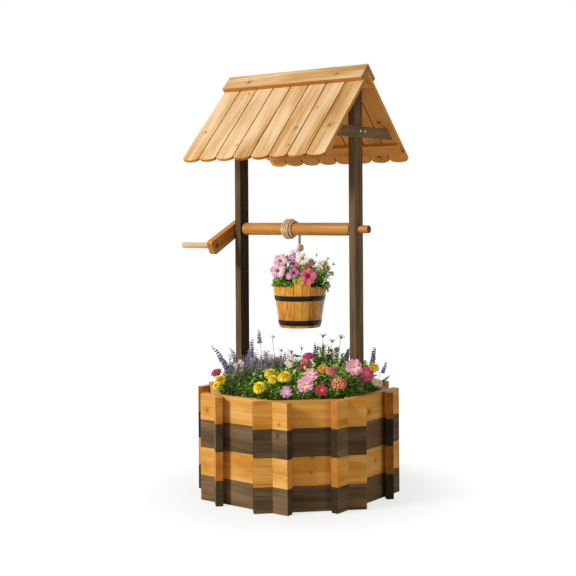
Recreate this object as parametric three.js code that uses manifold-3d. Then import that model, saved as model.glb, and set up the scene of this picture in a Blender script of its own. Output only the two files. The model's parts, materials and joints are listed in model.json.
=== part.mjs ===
// Wishing well planter: an octagonal planter of interlocking boards, two posts that carry a
// pitched plank roof, and a windlass that raises a planted bucket on a rope.
// Millimetres, +Z up. The origin is on the ground at the centre of the octagon, X runs along
// the windlass and -Y is the front.
import * as THREE from 'three';
import { mergeVertices } from 'three/addons/utils/BufferGeometryUtils.js';
import Module from 'manifold-3d';

const wasm = await Module();
wasm.setup();

// Clearances and cutting allowances
const gap = 0.3;
const overrun = 6;
const weldDistance = 0.0001;

// Planter walls: boards that cross at the corners and run on past them
const wallCount = 8;
const wellAcross = 634;
const wallThickness = 27;
const boardTail = 64.5;
const courseHeights = [89, 100, 97.5, 93.5];
const wallNames = ['front', 'front_right', 'right', 'back_right', 'back', 'back_left', 'left', 'front_left'];

// Planter inside
const floorThickness = 18;
const drainRadius = 7;
const drainFromCentre = 140;
const soilBelowRim = 16;

// Posts, their packing pieces and the collar ties
const postThick = 27;
const postWide = 49;
const postAboveAxis = 496.8;
const packerThickness = 11.6;
const packerHeight = 300;
const tieAboveBatten = 11.2;
const tieHeight = 39;
const tieThickness = 18.5;

// Roof
const pitch = THREE.MathUtils.degToRad(48);
const plankThickness = 12;
const plankCount = 8;
const gableOverhang = 46.2;
const eaveHalfSpan = 274;
const scallopDepth = 12;
const scallopSteps = 8;
const seamWidth = 2.4;
const seamDepth = 4;
const ridgeBoardWidth = 48;
const ridgeBoardThickness = 18;
const ridgeBoardSetback = 2.5;
const ridgeBeamHeight = 42.2;
const ridgeBeamSetback = 6;
const battenWidth = 44.5;
const battenThickness = 16;
const battenSetback = 9;
const battenFromEave = 48;

// Windlass
const axisAboveRim = 582.2;
const rollerRadius = 23.3;
const rollerEndPlay = 3.8;
const rollerChamfer = 3;
const journalRadius = 14;
const journalChamfer = 1.5;
const journalClearance = 1;
const journalBeyondPost = 42.5;
const armFromPost = 6.7;
const armThickness = 25;
const armSlope = THREE.MathUtils.degToRad(26.9);
const armHubWidth = 51;
const armEndWidth = 54;
const armBehindHub = 30;
const armBeyondHandle = 25;
const armChamfer = 7;
const armHubClearance = 0.6;
const handleFromAxis = 135.6;
const handleRadius = 11;
const handleBeyondArm = 146;
const handleChamfer = 1.5;
const roundSides = 24;

// Rope: wound on the roller, falling behind it to a knot, then down both ways to the ears
const ropeRadius = 4;
const turnGap = 0.45;
const firstTurnGap = 0.5;
const turnCount = 5.25;
const stepsPerTurn = 24;
const bendSteps = 4;
const ropeSides = 6;
const innerLayer = 7;
const ropeBite = 0.3;
const ropeBend = 5;
const ropeHoleClearance = 0.7;
const climbTurns = [0.9, 1.6];
const descentTurns = [4.2, 4.9];
const fallX = -8;
const knotBelowAxis = 57.2;
const knotHeight = 27;
const knotRadius = 11.5;
const knotNeckRadius = 5;
const bailSides = 8;
const bailSteps = 44;
const stopperRadius = 7;
const stopperFromEar = 1.5;
const bailBend = 6;

// Bucket
const bucketHeight = 151.5;
const bailHeight = 110.5;
const rimRadius = 100;
const baseRadius = 76;
const staveCount = 20;
const staveThickness = 9;
const earHeight = 27;
const earStaves = 2;
const earHoleBelowTop = 10;
const earHoleClearance = 0.45;
const earAzimuth = THREE.MathUtils.degToRad(-47.4);
const bucketFloorAbove = 8;
const bucketFloorThickness = 10;
const hoopThickness = 1.6;
const hoopHeight = 18.5;
const upperHoopBelowRim = 32.7;
const lowerHoopAboveBase = 10.3;
const bucketSoilBelowRim = 9;

const finishes = {
  honey: { color: 0xcd8f45, roughness: 0.6, metalness: 0 },
  dark: { color: 0x54432f, roughness: 0.7, metalness: 0 },
  roof: { color: 0xdba866, roughness: 0.6, metalness: 0 },
  turned: { color: 0xc98b48, roughness: 0.5, metalness: 0 },
  rope: { color: 0xc3a678, roughness: 0.95, metalness: 0 },
  stave: { color: 0xc07c33, roughness: 0.5, metalness: 0 },
  hoop: { color: 0x1d1c1c, roughness: 0.4, metalness: 0.8 },
  soil: { color: 0x2c2018, roughness: 1, metalness: 0 },
  leaf: { color: 0x3f6a2c, roughness: 0.8, metalness: 0 },
};

// Places worked out from the sizes above
const halfWell = wellAcross / 2;
const wallTurn = (2 * Math.PI) / wallCount;
const boardHalf = halfWell * Math.tan(wallTurn / 2) + boardTail;
const rimHeight = courseHeights.reduce((sum, height) => sum + height, 0);
const insideRadius = halfWell - wallThickness;
const axisHeight = rimHeight + axisAboveRim;
const postOuter = insideRadius - packerThickness - 2 * gap;
const postInner = postOuter - postThick;
const postFoot = floorThickness + gap;
const sinPitch = Math.sin(pitch);
const cosPitch = Math.cos(pitch);
const tanPitch = Math.tan(pitch);
const ridgeBeamBase = axisHeight + postAboveAxis;
const innerApex = ridgeBeamBase + ridgeBeamHeight;
const plankApex = innerApex + (plankThickness + gap) / cosPitch;
const slopeLength = eaveHalfSpan / cosPitch;
const roofLength = 2 * (postOuter + gableOverhang);
const battenTopFromApex = slopeLength - battenFromEave - battenWidth;
const battenTop = plankApex - battenTopFromApex * sinPitch - (plankThickness + gap) * cosPitch;
const tieBase = battenTop + tieAboveBatten;
const rollerHalf = postInner - rollerEndPlay;
const armInnerX = postOuter + armFromPost;
const armOuterX = armInnerX + armThickness;
const windRadius = rollerRadius + gap + ropeRadius;
const coreRadius = rollerRadius + gap + innerLayer;
const outerWindRadius = coreRadius + ropeRadius - ropeBite;
const turnPitch = 2 * ropeRadius + turnGap;
const fallY = windRadius;
const fallTop = axisHeight - 2 * ropeRadius - gap;
const knotTop = axisHeight - knotBelowAxis;
const staveTurn = (2 * Math.PI) / staveCount;
const taper = (rimRadius - baseRadius) / bucketHeight;
const earHole = knotTop - knotHeight - bailHeight;
const bucketRim = earHole + earHoleBelowTop - earHeight;
const bucketBase = bucketRim - bucketHeight;
const upperHoopBase = bucketRim - upperHoopBelowRim - hoopHeight;
const lowerHoopBase = bucketBase + lowerHoopAboveBase;

const bucketRadiusAt = (z) => baseRadius + taper * (z - bucketBase);

function toSolid(geometry) {
  const plain = geometry.clone();
  plain.deleteAttribute('normal');
  plain.deleteAttribute('uv');
  const merged = mergeVertices(plain, weldDistance);
  return new wasm.Manifold(new wasm.Mesh({
    numProp: 3,
    vertProperties: new Float32Array(merged.attributes.position.array),
    triVerts: new Uint32Array(merged.index.array),
  }));
}

function toGeometry(solid) {
  const mesh = solid.getMesh();
  const geometry = new THREE.BufferGeometry();
  geometry.setAttribute('position', new THREE.BufferAttribute(new Float32Array(mesh.vertProperties), 3));
  geometry.setIndex(new THREE.BufferAttribute(new Uint32Array(mesh.triVerts), 1));
  geometry.computeVertexNormals();
  return geometry;
}

function piece(name, shape, finish, parent) {
  const geometry = shape instanceof THREE.BufferGeometry ? shape : toGeometry(shape);
  const mesh = new THREE.Mesh(geometry, new THREE.MeshStandardMaterial(finishes[finish]));
  mesh.name = name;
  parent.add(mesh);
  return mesh;
}

function box(low, high) {
  const size = high.map((value, axis) => value - low[axis]);
  const centre = high.map((value, axis) => (value + low[axis]) / 2);
  return new THREE.BoxGeometry(...size).translate(...centre);
}

function prism(points, depth, curveSegments = 1) {
  const shape = points instanceof THREE.Shape ? points : new THREE.Shape(points);
  return new THREE.ExtrudeGeometry(shape, { depth, bevelEnabled: false, curveSegments });
}

// A bar with its axis along X at the given height and depth
function barAlongX(radius, from, to, y, z, sides = roundSides) {
  return new THREE.CylinderGeometry(radius, radius, to - from, sides)
    .rotateZ(-Math.PI / 2)
    .translate((from + to) / 2, y, z);
}

// A turned shape about Z from (radius, height) pairs
function turned(profile, sides, startTurn = 0) {
  const points = profile.map(([radius, height]) => new THREE.Vector2(radius, height));
  return new THREE.LatheGeometry(points, sides).rotateX(Math.PI / 2).rotateZ(startTurn);
}

// An eight-sided outline with its flats at the given distance from the centre
function octagon(flatRadius) {
  const cornerRadius = flatRadius / Math.cos(wallTurn / 2);
  return Array.from({ length: wallCount }, (_, corner) => {
    const angle = (corner + 0.5) * wallTurn;
    return new THREE.Vector2(cornerRadius * Math.cos(angle), cornerRadius * Math.sin(angle));
  });
}

// A closed tube on a list of centre points; outwards gives each ring's first direction
function sweep(points, outwards, sides, radiusAt) {
  const positions = [];
  const faces = [];
  points.forEach((point, ring) => {
    const before = points[Math.max(ring - 1, 0)];
    const after = points[Math.min(ring + 1, points.length - 1)];
    const along = after.clone().sub(before).normalize();
    const up = outwards[ring].clone().addScaledVector(along, -outwards[ring].dot(along)).normalize();
    const side = along.clone().cross(up);
    for (let corner = 0; corner < sides; corner += 1) {
      const angle = (corner * 2 * Math.PI) / sides;
      positions.push(...point.clone()
        .addScaledVector(up, radiusAt(ring) * Math.cos(angle))
        .addScaledVector(side, radiusAt(ring) * Math.sin(angle)).toArray());
    }
  });
  const first = points.length * sides;
  positions.push(...points[0].toArray(), ...points[points.length - 1].toArray());
  for (let corner = 0; corner < sides; corner += 1) {
    const next = (corner + 1) % sides;
    for (let ring = 0; ring < points.length - 1; ring += 1) {
      const here = ring * sides;
      const there = here + sides;
      faces.push(here + corner, here + next, there + next, here + corner, there + next, there + corner);
    }
    const last = (points.length - 1) * sides;
    faces.push(first, next, corner, first + 1, last + corner, last + next);
  }
  const geometry = new THREE.BufferGeometry();
  geometry.setAttribute('position', new THREE.Float32BufferAttribute(positions, 3));
  geometry.setIndex(faces);
  return geometry;
}

// Planter walls: boards of even walls are notched from below and drop over the odd ones
function wallBoard(base, height, notchBelow) {
  const outer = -halfWell;
  const top = base + height - gap;
  const middle = (base + top) / 2;
  const low = notchBelow ? base - overrun : middle - gap / 2;
  const high = notchBelow ? middle + gap / 2 : top + overrun;
  let board = toSolid(box([-boardHalf, outer, base], [boardHalf, outer + wallThickness, top]));
  for (const turn of [-wallTurn, wallTurn]) {
    const notch = box([-boardHalf, outer - gap, low], [boardHalf, outer + wallThickness + gap, high]);
    board = board.subtract(toSolid(notch.rotateZ(turn)));
  }
  return board;
}

function addWalls(parent) {
  wallNames.forEach((wallName, wall) => {
    let base = 0;
    courseHeights.forEach((height, course) => {
      const finish = course % 2 === 0 ? 'dark' : 'honey';
      const shape = wallBoard(base, height, wall % 2 === 0);
      const board = piece(`${wallName}_board_${course + 1}`, shape, finish, parent);
      board.rotation.z = wall * wallTurn;
      base += height;
    });
  });
}

function addFloor(parent) {
  const outline = new THREE.Shape(octagon(insideRadius - gap));
  for (let drain = 0; drain < wallCount / 2; drain += 1) {
    const angle = drain * 2 * wallTurn + wallTurn;
    const x = drainFromCentre * Math.cos(angle);
    const y = drainFromCentre * Math.sin(angle);
    const hole = new THREE.Path();
    hole.absarc(x, y, drainRadius, 0, 2 * Math.PI);
    outline.holes.push(hole);
  }
  piece('planter_floor', prism(outline, floorThickness, roundSides / 4), 'honey', parent);
}

// What stands in the soil: both posts with their packing pieces, grown by a clearance
function standingInSoil(clearance, top) {
  const blocks = [-1, 1].map((side) => {
    const x = [side * (postInner - clearance), side * (insideRadius + overrun)].sort((a, b) => a - b);
    return toSolid(box([x[0], -postWide / 2 - clearance, 0], [x[1], postWide / 2 + clearance, top]));
  });
  return blocks[0].add(blocks[1]);
}

function addPosts(parent) {
  for (const side of [-1, 1]) {
    const sideName = side < 0 ? 'left' : 'right';
    const postX = [side * postInner, side * postOuter].sort((a, b) => a - b);
    const postTop = ridgeBeamBase - gap;
    const shaft = toSolid(box([postX[0], -postWide / 2, postFoot], [postX[1], postWide / 2, postTop]));
    const boreRadius = journalRadius + journalClearance;
    const bore = barAlongX(boreRadius, postX[0] - overrun, postX[1] + overrun, 0, axisHeight);
    piece(`${sideName}_post`, shaft.subtract(toSolid(bore)), 'dark', parent);

    const packerX = [side * (postOuter + gap), side * (insideRadius - gap)].sort((a, b) => a - b);
    const packerTop = postFoot + packerHeight;
    const packer = box([packerX[0], -postWide / 2, postFoot], [packerX[1], postWide / 2, packerTop]);
    piece(`${sideName}_post_packer`, packer, 'honey', parent);

    const halfAt = (z) => (innerApex - z) / tanPitch;
    const tieTop = tieBase + tieHeight;
    const outline = [
      new THREE.Vector2(-halfAt(tieBase), tieBase),
      new THREE.Vector2(halfAt(tieBase), tieBase),
      new THREE.Vector2(halfAt(tieTop), tieTop),
      new THREE.Vector2(-halfAt(tieTop), tieTop),
    ];
    const tie = prism(outline, tieThickness).rotateX(Math.PI / 2).rotateZ(Math.PI / 2);
    tie.translate(side > 0 ? postOuter + gap : -postOuter - gap - tieThickness, 0, 0);
    piece(`${sideName}_collar_tie`, tie, 'dark', parent);
  }
}

// Roof pieces are laid out flat, x along the ridge and y up the slope, then tipped to the pitch
function tipToSlope(geometry) {
  return geometry.rotateX(pitch).translate(0, 0, plankApex);
}

function plumbCut(solid) {
  const beyond = box([-roofLength, -gap / 2, 0], [roofLength, eaveHalfSpan, 2 * plankApex]);
  return solid.subtract(toSolid(beyond));
}

function plankSlope() {
  const plankWidth = roofLength / plankCount;
  const seamEnd = slopeLength - scallopDepth;
  const outline = [new THREE.Vector2(roofLength / 2, overrun), new THREE.Vector2(-roofLength / 2, overrun)];
  for (let plank = 0; plank < plankCount; plank += 1) {
    for (let step = 0; step < scallopSteps; step += 1) {
      const share = step / scallopSteps;
      const x = -roofLength / 2 + (plank + share) * plankWidth;
      outline.push(new THREE.Vector2(x, -seamEnd - scallopDepth * Math.sqrt(Math.sin(Math.PI * share))));
    }
  }
  outline.push(new THREE.Vector2(roofLength / 2, -seamEnd));
  let slope = toSolid(tipToSlope(prism(outline, plankThickness).translate(0, 0, -plankThickness)));
  for (let seam = 1; seam < plankCount; seam += 1) {
    const x = -roofLength / 2 + seam * plankWidth;
    const groove = [
      new THREE.Vector2(x - seamWidth / 2, 0),
      new THREE.Vector2(x, -seamDepth),
      new THREE.Vector2(x + seamWidth / 2, 0),
      new THREE.Vector2(x, seamDepth),
    ];
    const cutter = prism(groove, slopeLength + 2 * overrun).rotateX(Math.PI / 2).translate(0, overrun, 0);
    slope = slope.subtract(toSolid(tipToSlope(cutter)));
  }
  return plumbCut(slope);
}

function ridgeBoard() {
  const half = roofLength / 2 - ridgeBoardSetback;
  const flat = box(
    [-half, -ridgeBoardWidth, gap],
    [half, ridgeBoardThickness / tanPitch + overrun, gap + ridgeBoardThickness],
  );
  return plumbCut(toSolid(tipToSlope(flat)));
}

function eaveBatten() {
  const half = roofLength / 2 - battenSetback;
  const lower = battenFromEave - slopeLength;
  const under = -plankThickness - gap;
  return tipToSlope(box([-half, lower, under - battenThickness], [half, lower + battenWidth, under]));
}

function addRoof(parent) {
  for (const [sideName, turn] of [['front', 0], ['back', Math.PI]]) {
    for (const [name, shape, finish] of [
      ['roof_planks', plankSlope(), 'roof'],
      ['ridge_board', ridgeBoard(), 'roof'],
      ['eave_batten', eaveBatten(), 'roof'],
    ]) {
      piece(`${sideName}_${name}`, shape, finish, parent).rotation.z = turn;
    }
  }
  const halfBase = (innerApex - ridgeBeamBase) / tanPitch;
  const outline = [
    new THREE.Vector2(-halfBase, ridgeBeamBase),
    new THREE.Vector2(halfBase, ridgeBeamBase),
    new THREE.Vector2(0, innerApex),
  ];
  const half = roofLength / 2 - ridgeBeamSetback;
  const beam = prism(outline, 2 * half).rotateX(Math.PI / 2).rotateZ(Math.PI / 2);
  piece('ridge_beam', beam.translate(-half, 0, 0), 'roof', parent);
}

// The windlass turns about X at the axis height
function addWindlass(parent) {
  const rightEnd = postOuter + journalBeyondPost;
  const profile = [
    [0, -armOuterX],
    [journalRadius - journalChamfer, -armOuterX],
    [journalRadius, -armOuterX + journalChamfer],
    [journalRadius, -rollerHalf],
    [rollerRadius - rollerChamfer, -rollerHalf],
    [rollerRadius, -rollerHalf + rollerChamfer],
    [rollerRadius, rollerHalf - rollerChamfer],
    [rollerRadius - rollerChamfer, rollerHalf],
    [journalRadius, rollerHalf],
    [journalRadius, rightEnd - journalChamfer],
    [journalRadius - journalChamfer, rightEnd],
    [0, rightEnd],
  ];
  const roller = turned(profile, roundSides).rotateY(Math.PI / 2).translate(0, 0, axisHeight);
  const holeDepth = 2 * ropeRadius + ropeBend + ropeHoleClearance;
  const holeMiddle = ropeEntry.clone().addScaledVector(endOutward, ropeBend - holeDepth / 2);
  const holeRadius = ropeRadius + ropeHoleClearance;
  const ropeHole = new THREE.CylinderGeometry(holeRadius, holeRadius, holeDepth, roundSides / 2)
    .applyQuaternion(new THREE.Quaternion().setFromUnitVectors(new THREE.Vector3(0, 1, 0), endOutward))
    .translate(...holeMiddle.toArray());
  piece('roller', toSolid(roller).subtract(toSolid(ropeHole)), 'turned', parent);

  const armEnd = handleFromAxis + armBeyondHandle;
  const outline = new THREE.Shape([
    new THREE.Vector2(-armBehindHub, armHubWidth / 2 - armChamfer),
    new THREE.Vector2(-armBehindHub, -armHubWidth / 2 + armChamfer),
    new THREE.Vector2(-armBehindHub + armChamfer, -armHubWidth / 2),
    new THREE.Vector2(armEnd - armChamfer, -armEndWidth / 2),
    new THREE.Vector2(armEnd, -armEndWidth / 2 + armChamfer),
    new THREE.Vector2(armEnd, armEndWidth / 2 - armChamfer),
    new THREE.Vector2(armEnd - armChamfer, armEndWidth / 2),
    new THREE.Vector2(-armBehindHub + armChamfer, armHubWidth / 2),
  ]);
  for (const [at, radius] of [
    [0, journalRadius + armHubClearance],
    [handleFromAxis, handleRadius + gap],
  ]) {
    const hole = new THREE.Path();
    hole.absarc(at, 0, radius, 0, 2 * Math.PI);
    outline.holes.push(hole);
  }
  const along = new THREE.Vector3(0, -Math.cos(armSlope), -Math.sin(armSlope));
  const across = new THREE.Vector3(0, -Math.sin(armSlope), Math.cos(armSlope));
  const turn = new THREE.Matrix4().makeBasis(along, across, along.clone().cross(across));
  const arm = prism(outline, armThickness, roundSides / 2).applyMatrix4(turn);
  piece('crank_arm', arm.translate(-armInnerX, 0, axisHeight), 'turned', parent);

  const handleProfile = [
    [0, armInnerX],
    [handleRadius, armInnerX],
    [handleRadius, armOuterX + handleBeyondArm - handleChamfer],
    [handleRadius - handleChamfer, armOuterX + handleBeyondArm],
    [0, armOuterX + handleBeyondArm],
  ];
  const handle = turned(handleProfile, roundSides).rotateY(-Math.PI / 2);
  const handlePlace = along.clone().multiplyScalar(handleFromAxis);
  piece('crank_handle', handle.translate(0, handlePlace.y, axisHeight + handlePlace.z), 'turned', parent);
}

// Outer turns of the rope: from the tangent at the back, over the top, along to the left,
// up onto the inner layer and down again
function windingRadius(turns) {
  const climb = THREE.MathUtils.smoothstep(turns, ...climbTurns);
  const descent = THREE.MathUtils.smoothstep(turns, ...descentTurns);
  return windRadius + (outerWindRadius - windRadius) * (climb - descent);
}

function windingX(turns) {
  return fallX - turns * turnPitch - firstTurnGap * THREE.MathUtils.smoothstep(turns, 0, 0.5);
}

// The rope's end turns into a hole in the roller; this is where the bend ends, and its heading
const endAngle = turnCount * 2 * Math.PI;
const endOutward = new THREE.Vector3(0, Math.cos(endAngle), Math.sin(endAngle));
const endAlong = new THREE.Vector3(0, -Math.sin(endAngle), Math.cos(endAngle));
const ropeEntry = endOutward.clone().multiplyScalar(windRadius - ropeBend)
  .addScaledVector(endAlong, ropeBend)
  .add(new THREE.Vector3(windingX(turnCount), 0, axisHeight));

function addWinding(parent) {
  const points = [new THREE.Vector3(fallX, fallY, axisHeight - 2 * ropeRadius)];
  const outwards = [new THREE.Vector3(0, 1, 0)];
  const steps = Math.round(turnCount * stepsPerTurn);
  for (let step = 0; step <= steps; step += 1) {
    const turns = step / stepsPerTurn;
    const angle = turns * 2 * Math.PI;
    const outward = new THREE.Vector3(0, Math.cos(angle), Math.sin(angle));
    points.push(outward.clone().multiplyScalar(windingRadius(turns))
      .add(new THREE.Vector3(windingX(turns), 0, axisHeight)));
    outwards.push(outward);
  }
  for (let step = 1; step <= bendSteps; step += 1) {
    const turn = ((step / bendSteps) * Math.PI) / 2;
    points.push(ropeEntry.clone()
      .addScaledVector(endAlong, -ropeBend * (1 - Math.sin(turn)))
      .addScaledVector(endOutward, ropeBend * Math.cos(turn)));
    outwards.push(endOutward.clone().multiplyScalar(Math.cos(turn))
      .addScaledVector(endAlong, Math.sin(turn)));
  }
  points.push(ropeEntry.clone().addScaledVector(endOutward, -2 * ropeRadius));
  outwards.push(endAlong);

  let leastGap = Infinity;
  for (let near = 0; near < points.length; near += 1) {
    for (let far = near + stepsPerTurn / 2; far < points.length; far += 1) {
      leastGap = Math.min(leastGap, points[near].distanceTo(points[far]) - 2 * ropeRadius);
    }
  }
  console.log(`rope winding: least gap between turns ${leastGap.toFixed(2)} mm`);

  const coreFrom = fallX - climbTurns[1] * turnPitch - ropeRadius - gap;
  const coreTo = fallX - descentTurns[0] * turnPitch + ropeRadius + gap;
  const core = turned([
    [rollerRadius + gap, coreTo],
    [coreRadius, coreTo],
    [coreRadius, coreFrom],
    [rollerRadius + gap, coreFrom],
    [rollerRadius + gap, coreTo],
  ], roundSides).rotateY(Math.PI / 2).translate(0, 0, axisHeight);
  const tube = sweep(points, outwards, ropeSides, () => ropeRadius);
  piece('rope_winding', toSolid(tube).add(toSolid(core)), 'rope', parent);
}

// The fall, the knot below it and the bail that runs from ear to ear
function addFall(parent) {
  const length = fallTop - knotTop - gap;
  const fall = new THREE.CylinderGeometry(ropeRadius, ropeRadius, length, roundSides / 2)
    .rotateX(Math.PI / 2).translate(fallX, fallY, fallTop - length / 2);
  piece('rope_fall', fall, 'rope', parent);
  const knot = turned([
    [0, knotTop - knotHeight],
    [knotNeckRadius, knotTop - knotHeight],
    [knotRadius, knotTop - knotHeight * 0.7],
    [knotRadius, knotTop - knotHeight * 0.35],
    [knotNeckRadius, knotTop],
    [0, knotTop],
  ], roundSides / 2);
  piece('rope_knot', knot.translate(fallX, fallY, 0), 'rope', parent);
}

function addBail(bucket) {
  const inside = bucketRadiusAt(earHole) - staveThickness;
  const outside = bucketRadiusAt(earHole) + stopperFromEar + stopperRadius;
  const top = knotTop - knotHeight - gap - ropeRadius;
  const half = [
    [outside, earHole],
    [(outside + inside) / 2, earHole],
    [inside, earHole],
    [inside - bailBend, earHole],
    [inside - 2 * bailBend, earHole + bailBend / 2],
    [inside - 3 * bailBend, earHole + 2 * bailBend],
    [bailBend, top - bailBend],
  ];
  const route = [
    ...half.map(([out, height]) => new THREE.Vector3(out, 0, height)),
    new THREE.Vector3(0, 0, top),
    ...half.map(([out, height]) => new THREE.Vector3(-out, 0, height)).reverse(),
  ];
  const points = new THREE.CatmullRomCurve3(route, false, 'centripetal').getSpacedPoints(bailSteps);
  const outwards = points.map(() => new THREE.Vector3(0, 1, 0));
  let bail = toSolid(sweep(points, outwards, bailSides, () => ropeRadius));
  for (const side of [-1, 1]) {
    const stopper = new THREE.SphereGeometry(stopperRadius, bailSides, bailSides - 2);
    bail = bail.add(toSolid(stopper.translate(side * outside, 0, earHole)));
  }
  piece('rope_bail', bail, 'rope', bucket);
}

// The bucket is laid out with its ears on X and turned to its place with its group
function staveShell() {
  const top = bucketRim + earHeight;
  const shell = toSolid(turned([
    [bucketRadiusAt(bucketBase) - staveThickness, bucketBase],
    [bucketRadiusAt(bucketBase), bucketBase],
    [bucketRadiusAt(top), top],
    [bucketRadiusAt(top) - staveThickness, top],
    [bucketRadiusAt(bucketBase) - staveThickness, bucketBase],
  ], staveCount));
  const reach = bucketRadiusAt(top) + overrun;
  const earHalf = bucketRadiusAt(bucketRim) * Math.sin((earStaves / 2) * staveTurn);
  let cut = shell;
  for (const side of [-1, 1]) {
    const y = [side * earHalf, side * reach].sort((a, b) => a - b);
    cut = cut.subtract(toSolid(box([-reach, y[0], bucketRim], [reach, y[1], top + overrun])));
  }
  const hole = barAlongX(ropeRadius + earHoleClearance, -reach, reach, 0, earHole, roundSides / 2);
  return cut.subtract(toSolid(hole));
}

function hoop(base) {
  const inner = gap;
  const outer = gap + hoopThickness;
  return turned([
    [bucketRadiusAt(base) + inner, base],
    [bucketRadiusAt(base) + outer, base],
    [bucketRadiusAt(base + hoopHeight) + outer, base + hoopHeight],
    [bucketRadiusAt(base + hoopHeight) + inner, base + hoopHeight],
    [bucketRadiusAt(base) + inner, base],
  ], staveCount);
}

// Plants: mounds of leaves and the taller flowers, in shares of the sizes that they follow
const leafSides = 8;
const tiltRoom = THREE.MathUtils.degToRad(11);

function mound(centre, radii) {
  const unit = new THREE.SphereGeometry(1, leafSides, leafSides - 2).rotateX(Math.PI / 2);
  return toSolid(unit.scale(...radii).translate(...centre));
}

const bucketMoundShares = [
  [[0.1, -0.62, 0.42], [0.46, 0.4, 0.5]],
  [[-0.45, -0.45, 0.3], [0.4, 0.36, 0.42]],
  [[0.05, 0.64, 0.36], [0.5, 0.46, 0.48]],
  [[-0.42, 0.5, 0.34], [0.4, 0.4, 0.46]],
  [[0.62, 0.42, 0.2], [0.28, 0.3, 0.34]],
  [[0.5, -0.5, 0.12], [0.3, 0.3, 0.3]],
];

function bucketPlanting() {
  const soilTop = bucketRim - bucketSoilBelowRim;
  const soilBase = bucketBase + bucketFloorAbove + bucketFloorThickness + gap;
  const wall = staveThickness + gap;
  let planting = toSolid(turned([
    [0, soilBase],
    [bucketRadiusAt(soilBase) - wall, soilBase],
    [bucketRadiusAt(soilTop) - wall, soilTop],
    [0, soilTop],
  ], staveCount));
  const reach = 2 * rimRadius;
  const channel = prism([
    new THREE.Vector2(-ropeRadius - gap, bucketRim),
    new THREE.Vector2(ropeRadius + gap, bucketRim),
    new THREE.Vector2(ropeRadius + gap + reach * Math.tan(tiltRoom), bucketRim + reach),
    new THREE.Vector2(-ropeRadius - gap - reach * Math.tan(tiltRoom), bucketRim + reach),
  ], 2 * reach).rotateX(Math.PI / 2).rotateZ(Math.PI / 2).translate(-reach, 0, 0);
  let leaves = null;
  for (const [centreShare, radiusShare] of bucketMoundShares) {
    const centre = centreShare.map((share) => share * rimRadius);
    const lump = mound(
      [centre[0], centre[1], bucketRim + centre[2]],
      radiusShare.map((share) => share * rimRadius),
    );
    leaves = leaves ? leaves.add(lump) : lump;
  }
  const aboveRim = toSolid(box([-reach, -reach, bucketRim + gap], [reach, reach, bucketRim + reach]));
  const withinRim = toSolid(turned([
    [0, soilTop - gap],
    [bucketRadiusAt(soilTop) - wall, soilTop - gap],
    [bucketRadiusAt(bucketRim) - wall, bucketRim + 2 * gap],
    [0, bucketRim + 2 * gap],
  ], staveCount));
  const earBlock = toSolid(box(
    [-reach, -bucketRadiusAt(bucketRim) * Math.sin(staveTurn) - gap, bucketRim - overrun],
    [reach, bucketRadiusAt(bucketRim) * Math.sin(staveTurn) + gap, bucketRim + earHeight + gap],
  )).subtract(withinEars());
  leaves = leaves.intersect(aboveRim.add(withinRim)).subtract(toSolid(channel)).subtract(earBlock);
  return planting.add(leaves);
}

// The space between the two ears, clear of their inner faces
function withinEars() {
  const top = bucketRim + earHeight;
  const wall = staveThickness + gap;
  return toSolid(turned([
    [0, bucketRim - 2 * overrun],
    [bucketRadiusAt(bucketRim - 2 * overrun) - wall, bucketRim - 2 * overrun],
    [bucketRadiusAt(top + overrun) - wall, top + overrun],
    [0, top + overrun],
  ], staveCount));
}

function addBucket(parent) {
  const bucket = new THREE.Group();
  bucket.position.set(fallX, fallY, 0);
  bucket.rotation.z = earAzimuth;
  parent.add(bucket);
  addBail(bucket);
  piece('bucket_staves', staveShell(), 'stave', bucket);
  const floorBase = bucketBase + bucketFloorAbove;
  const floorTop = floorBase + bucketFloorThickness;
  const wall = staveThickness + gap;
  piece('bucket_bottom', turned([
    [0, floorBase],
    [bucketRadiusAt(floorBase) - wall, floorBase],
    [bucketRadiusAt(floorTop) - wall, floorTop],
    [0, floorTop],
  ], staveCount), 'stave', bucket);
  piece('bucket_upper_hoop', hoop(upperHoopBase), 'hoop', bucket);
  piece('bucket_lower_hoop', hoop(lowerHoopBase), 'hoop', bucket);
  piece('bucket_plants', bucketPlanting(), 'leaf', bucket);
}

// Planter soil and plants
const soilTop = rimHeight - soilBelowRim;
const plantHeight = 70;
const stalkRadius = 3;
const spikeRadius = 8;
const daisyRadius = 14;
const moundAboveRim = 22;

// Count, distance from the centre in shares of the inside radius, and size of each mound
const moundRingShares = [[10, 0.8, 0.11], [7, 0.45, 0.12]];

// Root, tip and height above the rim of the spikes, in shares of the inside radius and the rim height
const spikeShares = [
  [[-0.53, -0.66], [-0.73, -0.81], 0.43],
  [[-0.6, -0.5], [-0.62, -0.55], 0.39],
  [[-0.6, -0.17], [-0.6, -0.19], 0.47],
  [[-0.55, 0.04], [-0.54, 0.06], 0.35],
  [[-0.62, -0.02], [-0.63, 0], 0.54],
  [[-0.74, 0.3], [-0.75, 0.3], 0.42],
  [[0.22, 0.78], [0.22, 0.82], 0.36],
  [[0.57, 0.66], [0.59, 0.7], 0.39],
  [[0.66, 0.57], [0.74, 0.64], 0.26],
];
const daisyShares = [
  [0.3, -0.72, 0.42],
  [0.4, -0.65, 0.41],
  [0.5, -0.57, 0.43],
  [0.03, 0.53, 0.46],
  [0.13, 0.6, 0.41],
  [0.23, 0.67, 0.44],
];
const daisyRootShare = 0.9;

function stalk(root, tip, radii) {
  const points = radii.map((_, ring) => root.clone().lerp(tip, ring / (radii.length - 1)));
  const outwards = points.map(() => new THREE.Vector3(1, 0, 0));
  return toSolid(sweep(points, outwards, ropeSides, (ring) => radii[ring]));
}

function plantPlace(xShare, yShare, heightShare) {
  return new THREE.Vector3(xShare * insideRadius, yShare * insideRadius, rimHeight * (1 + heightShare));
}

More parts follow.
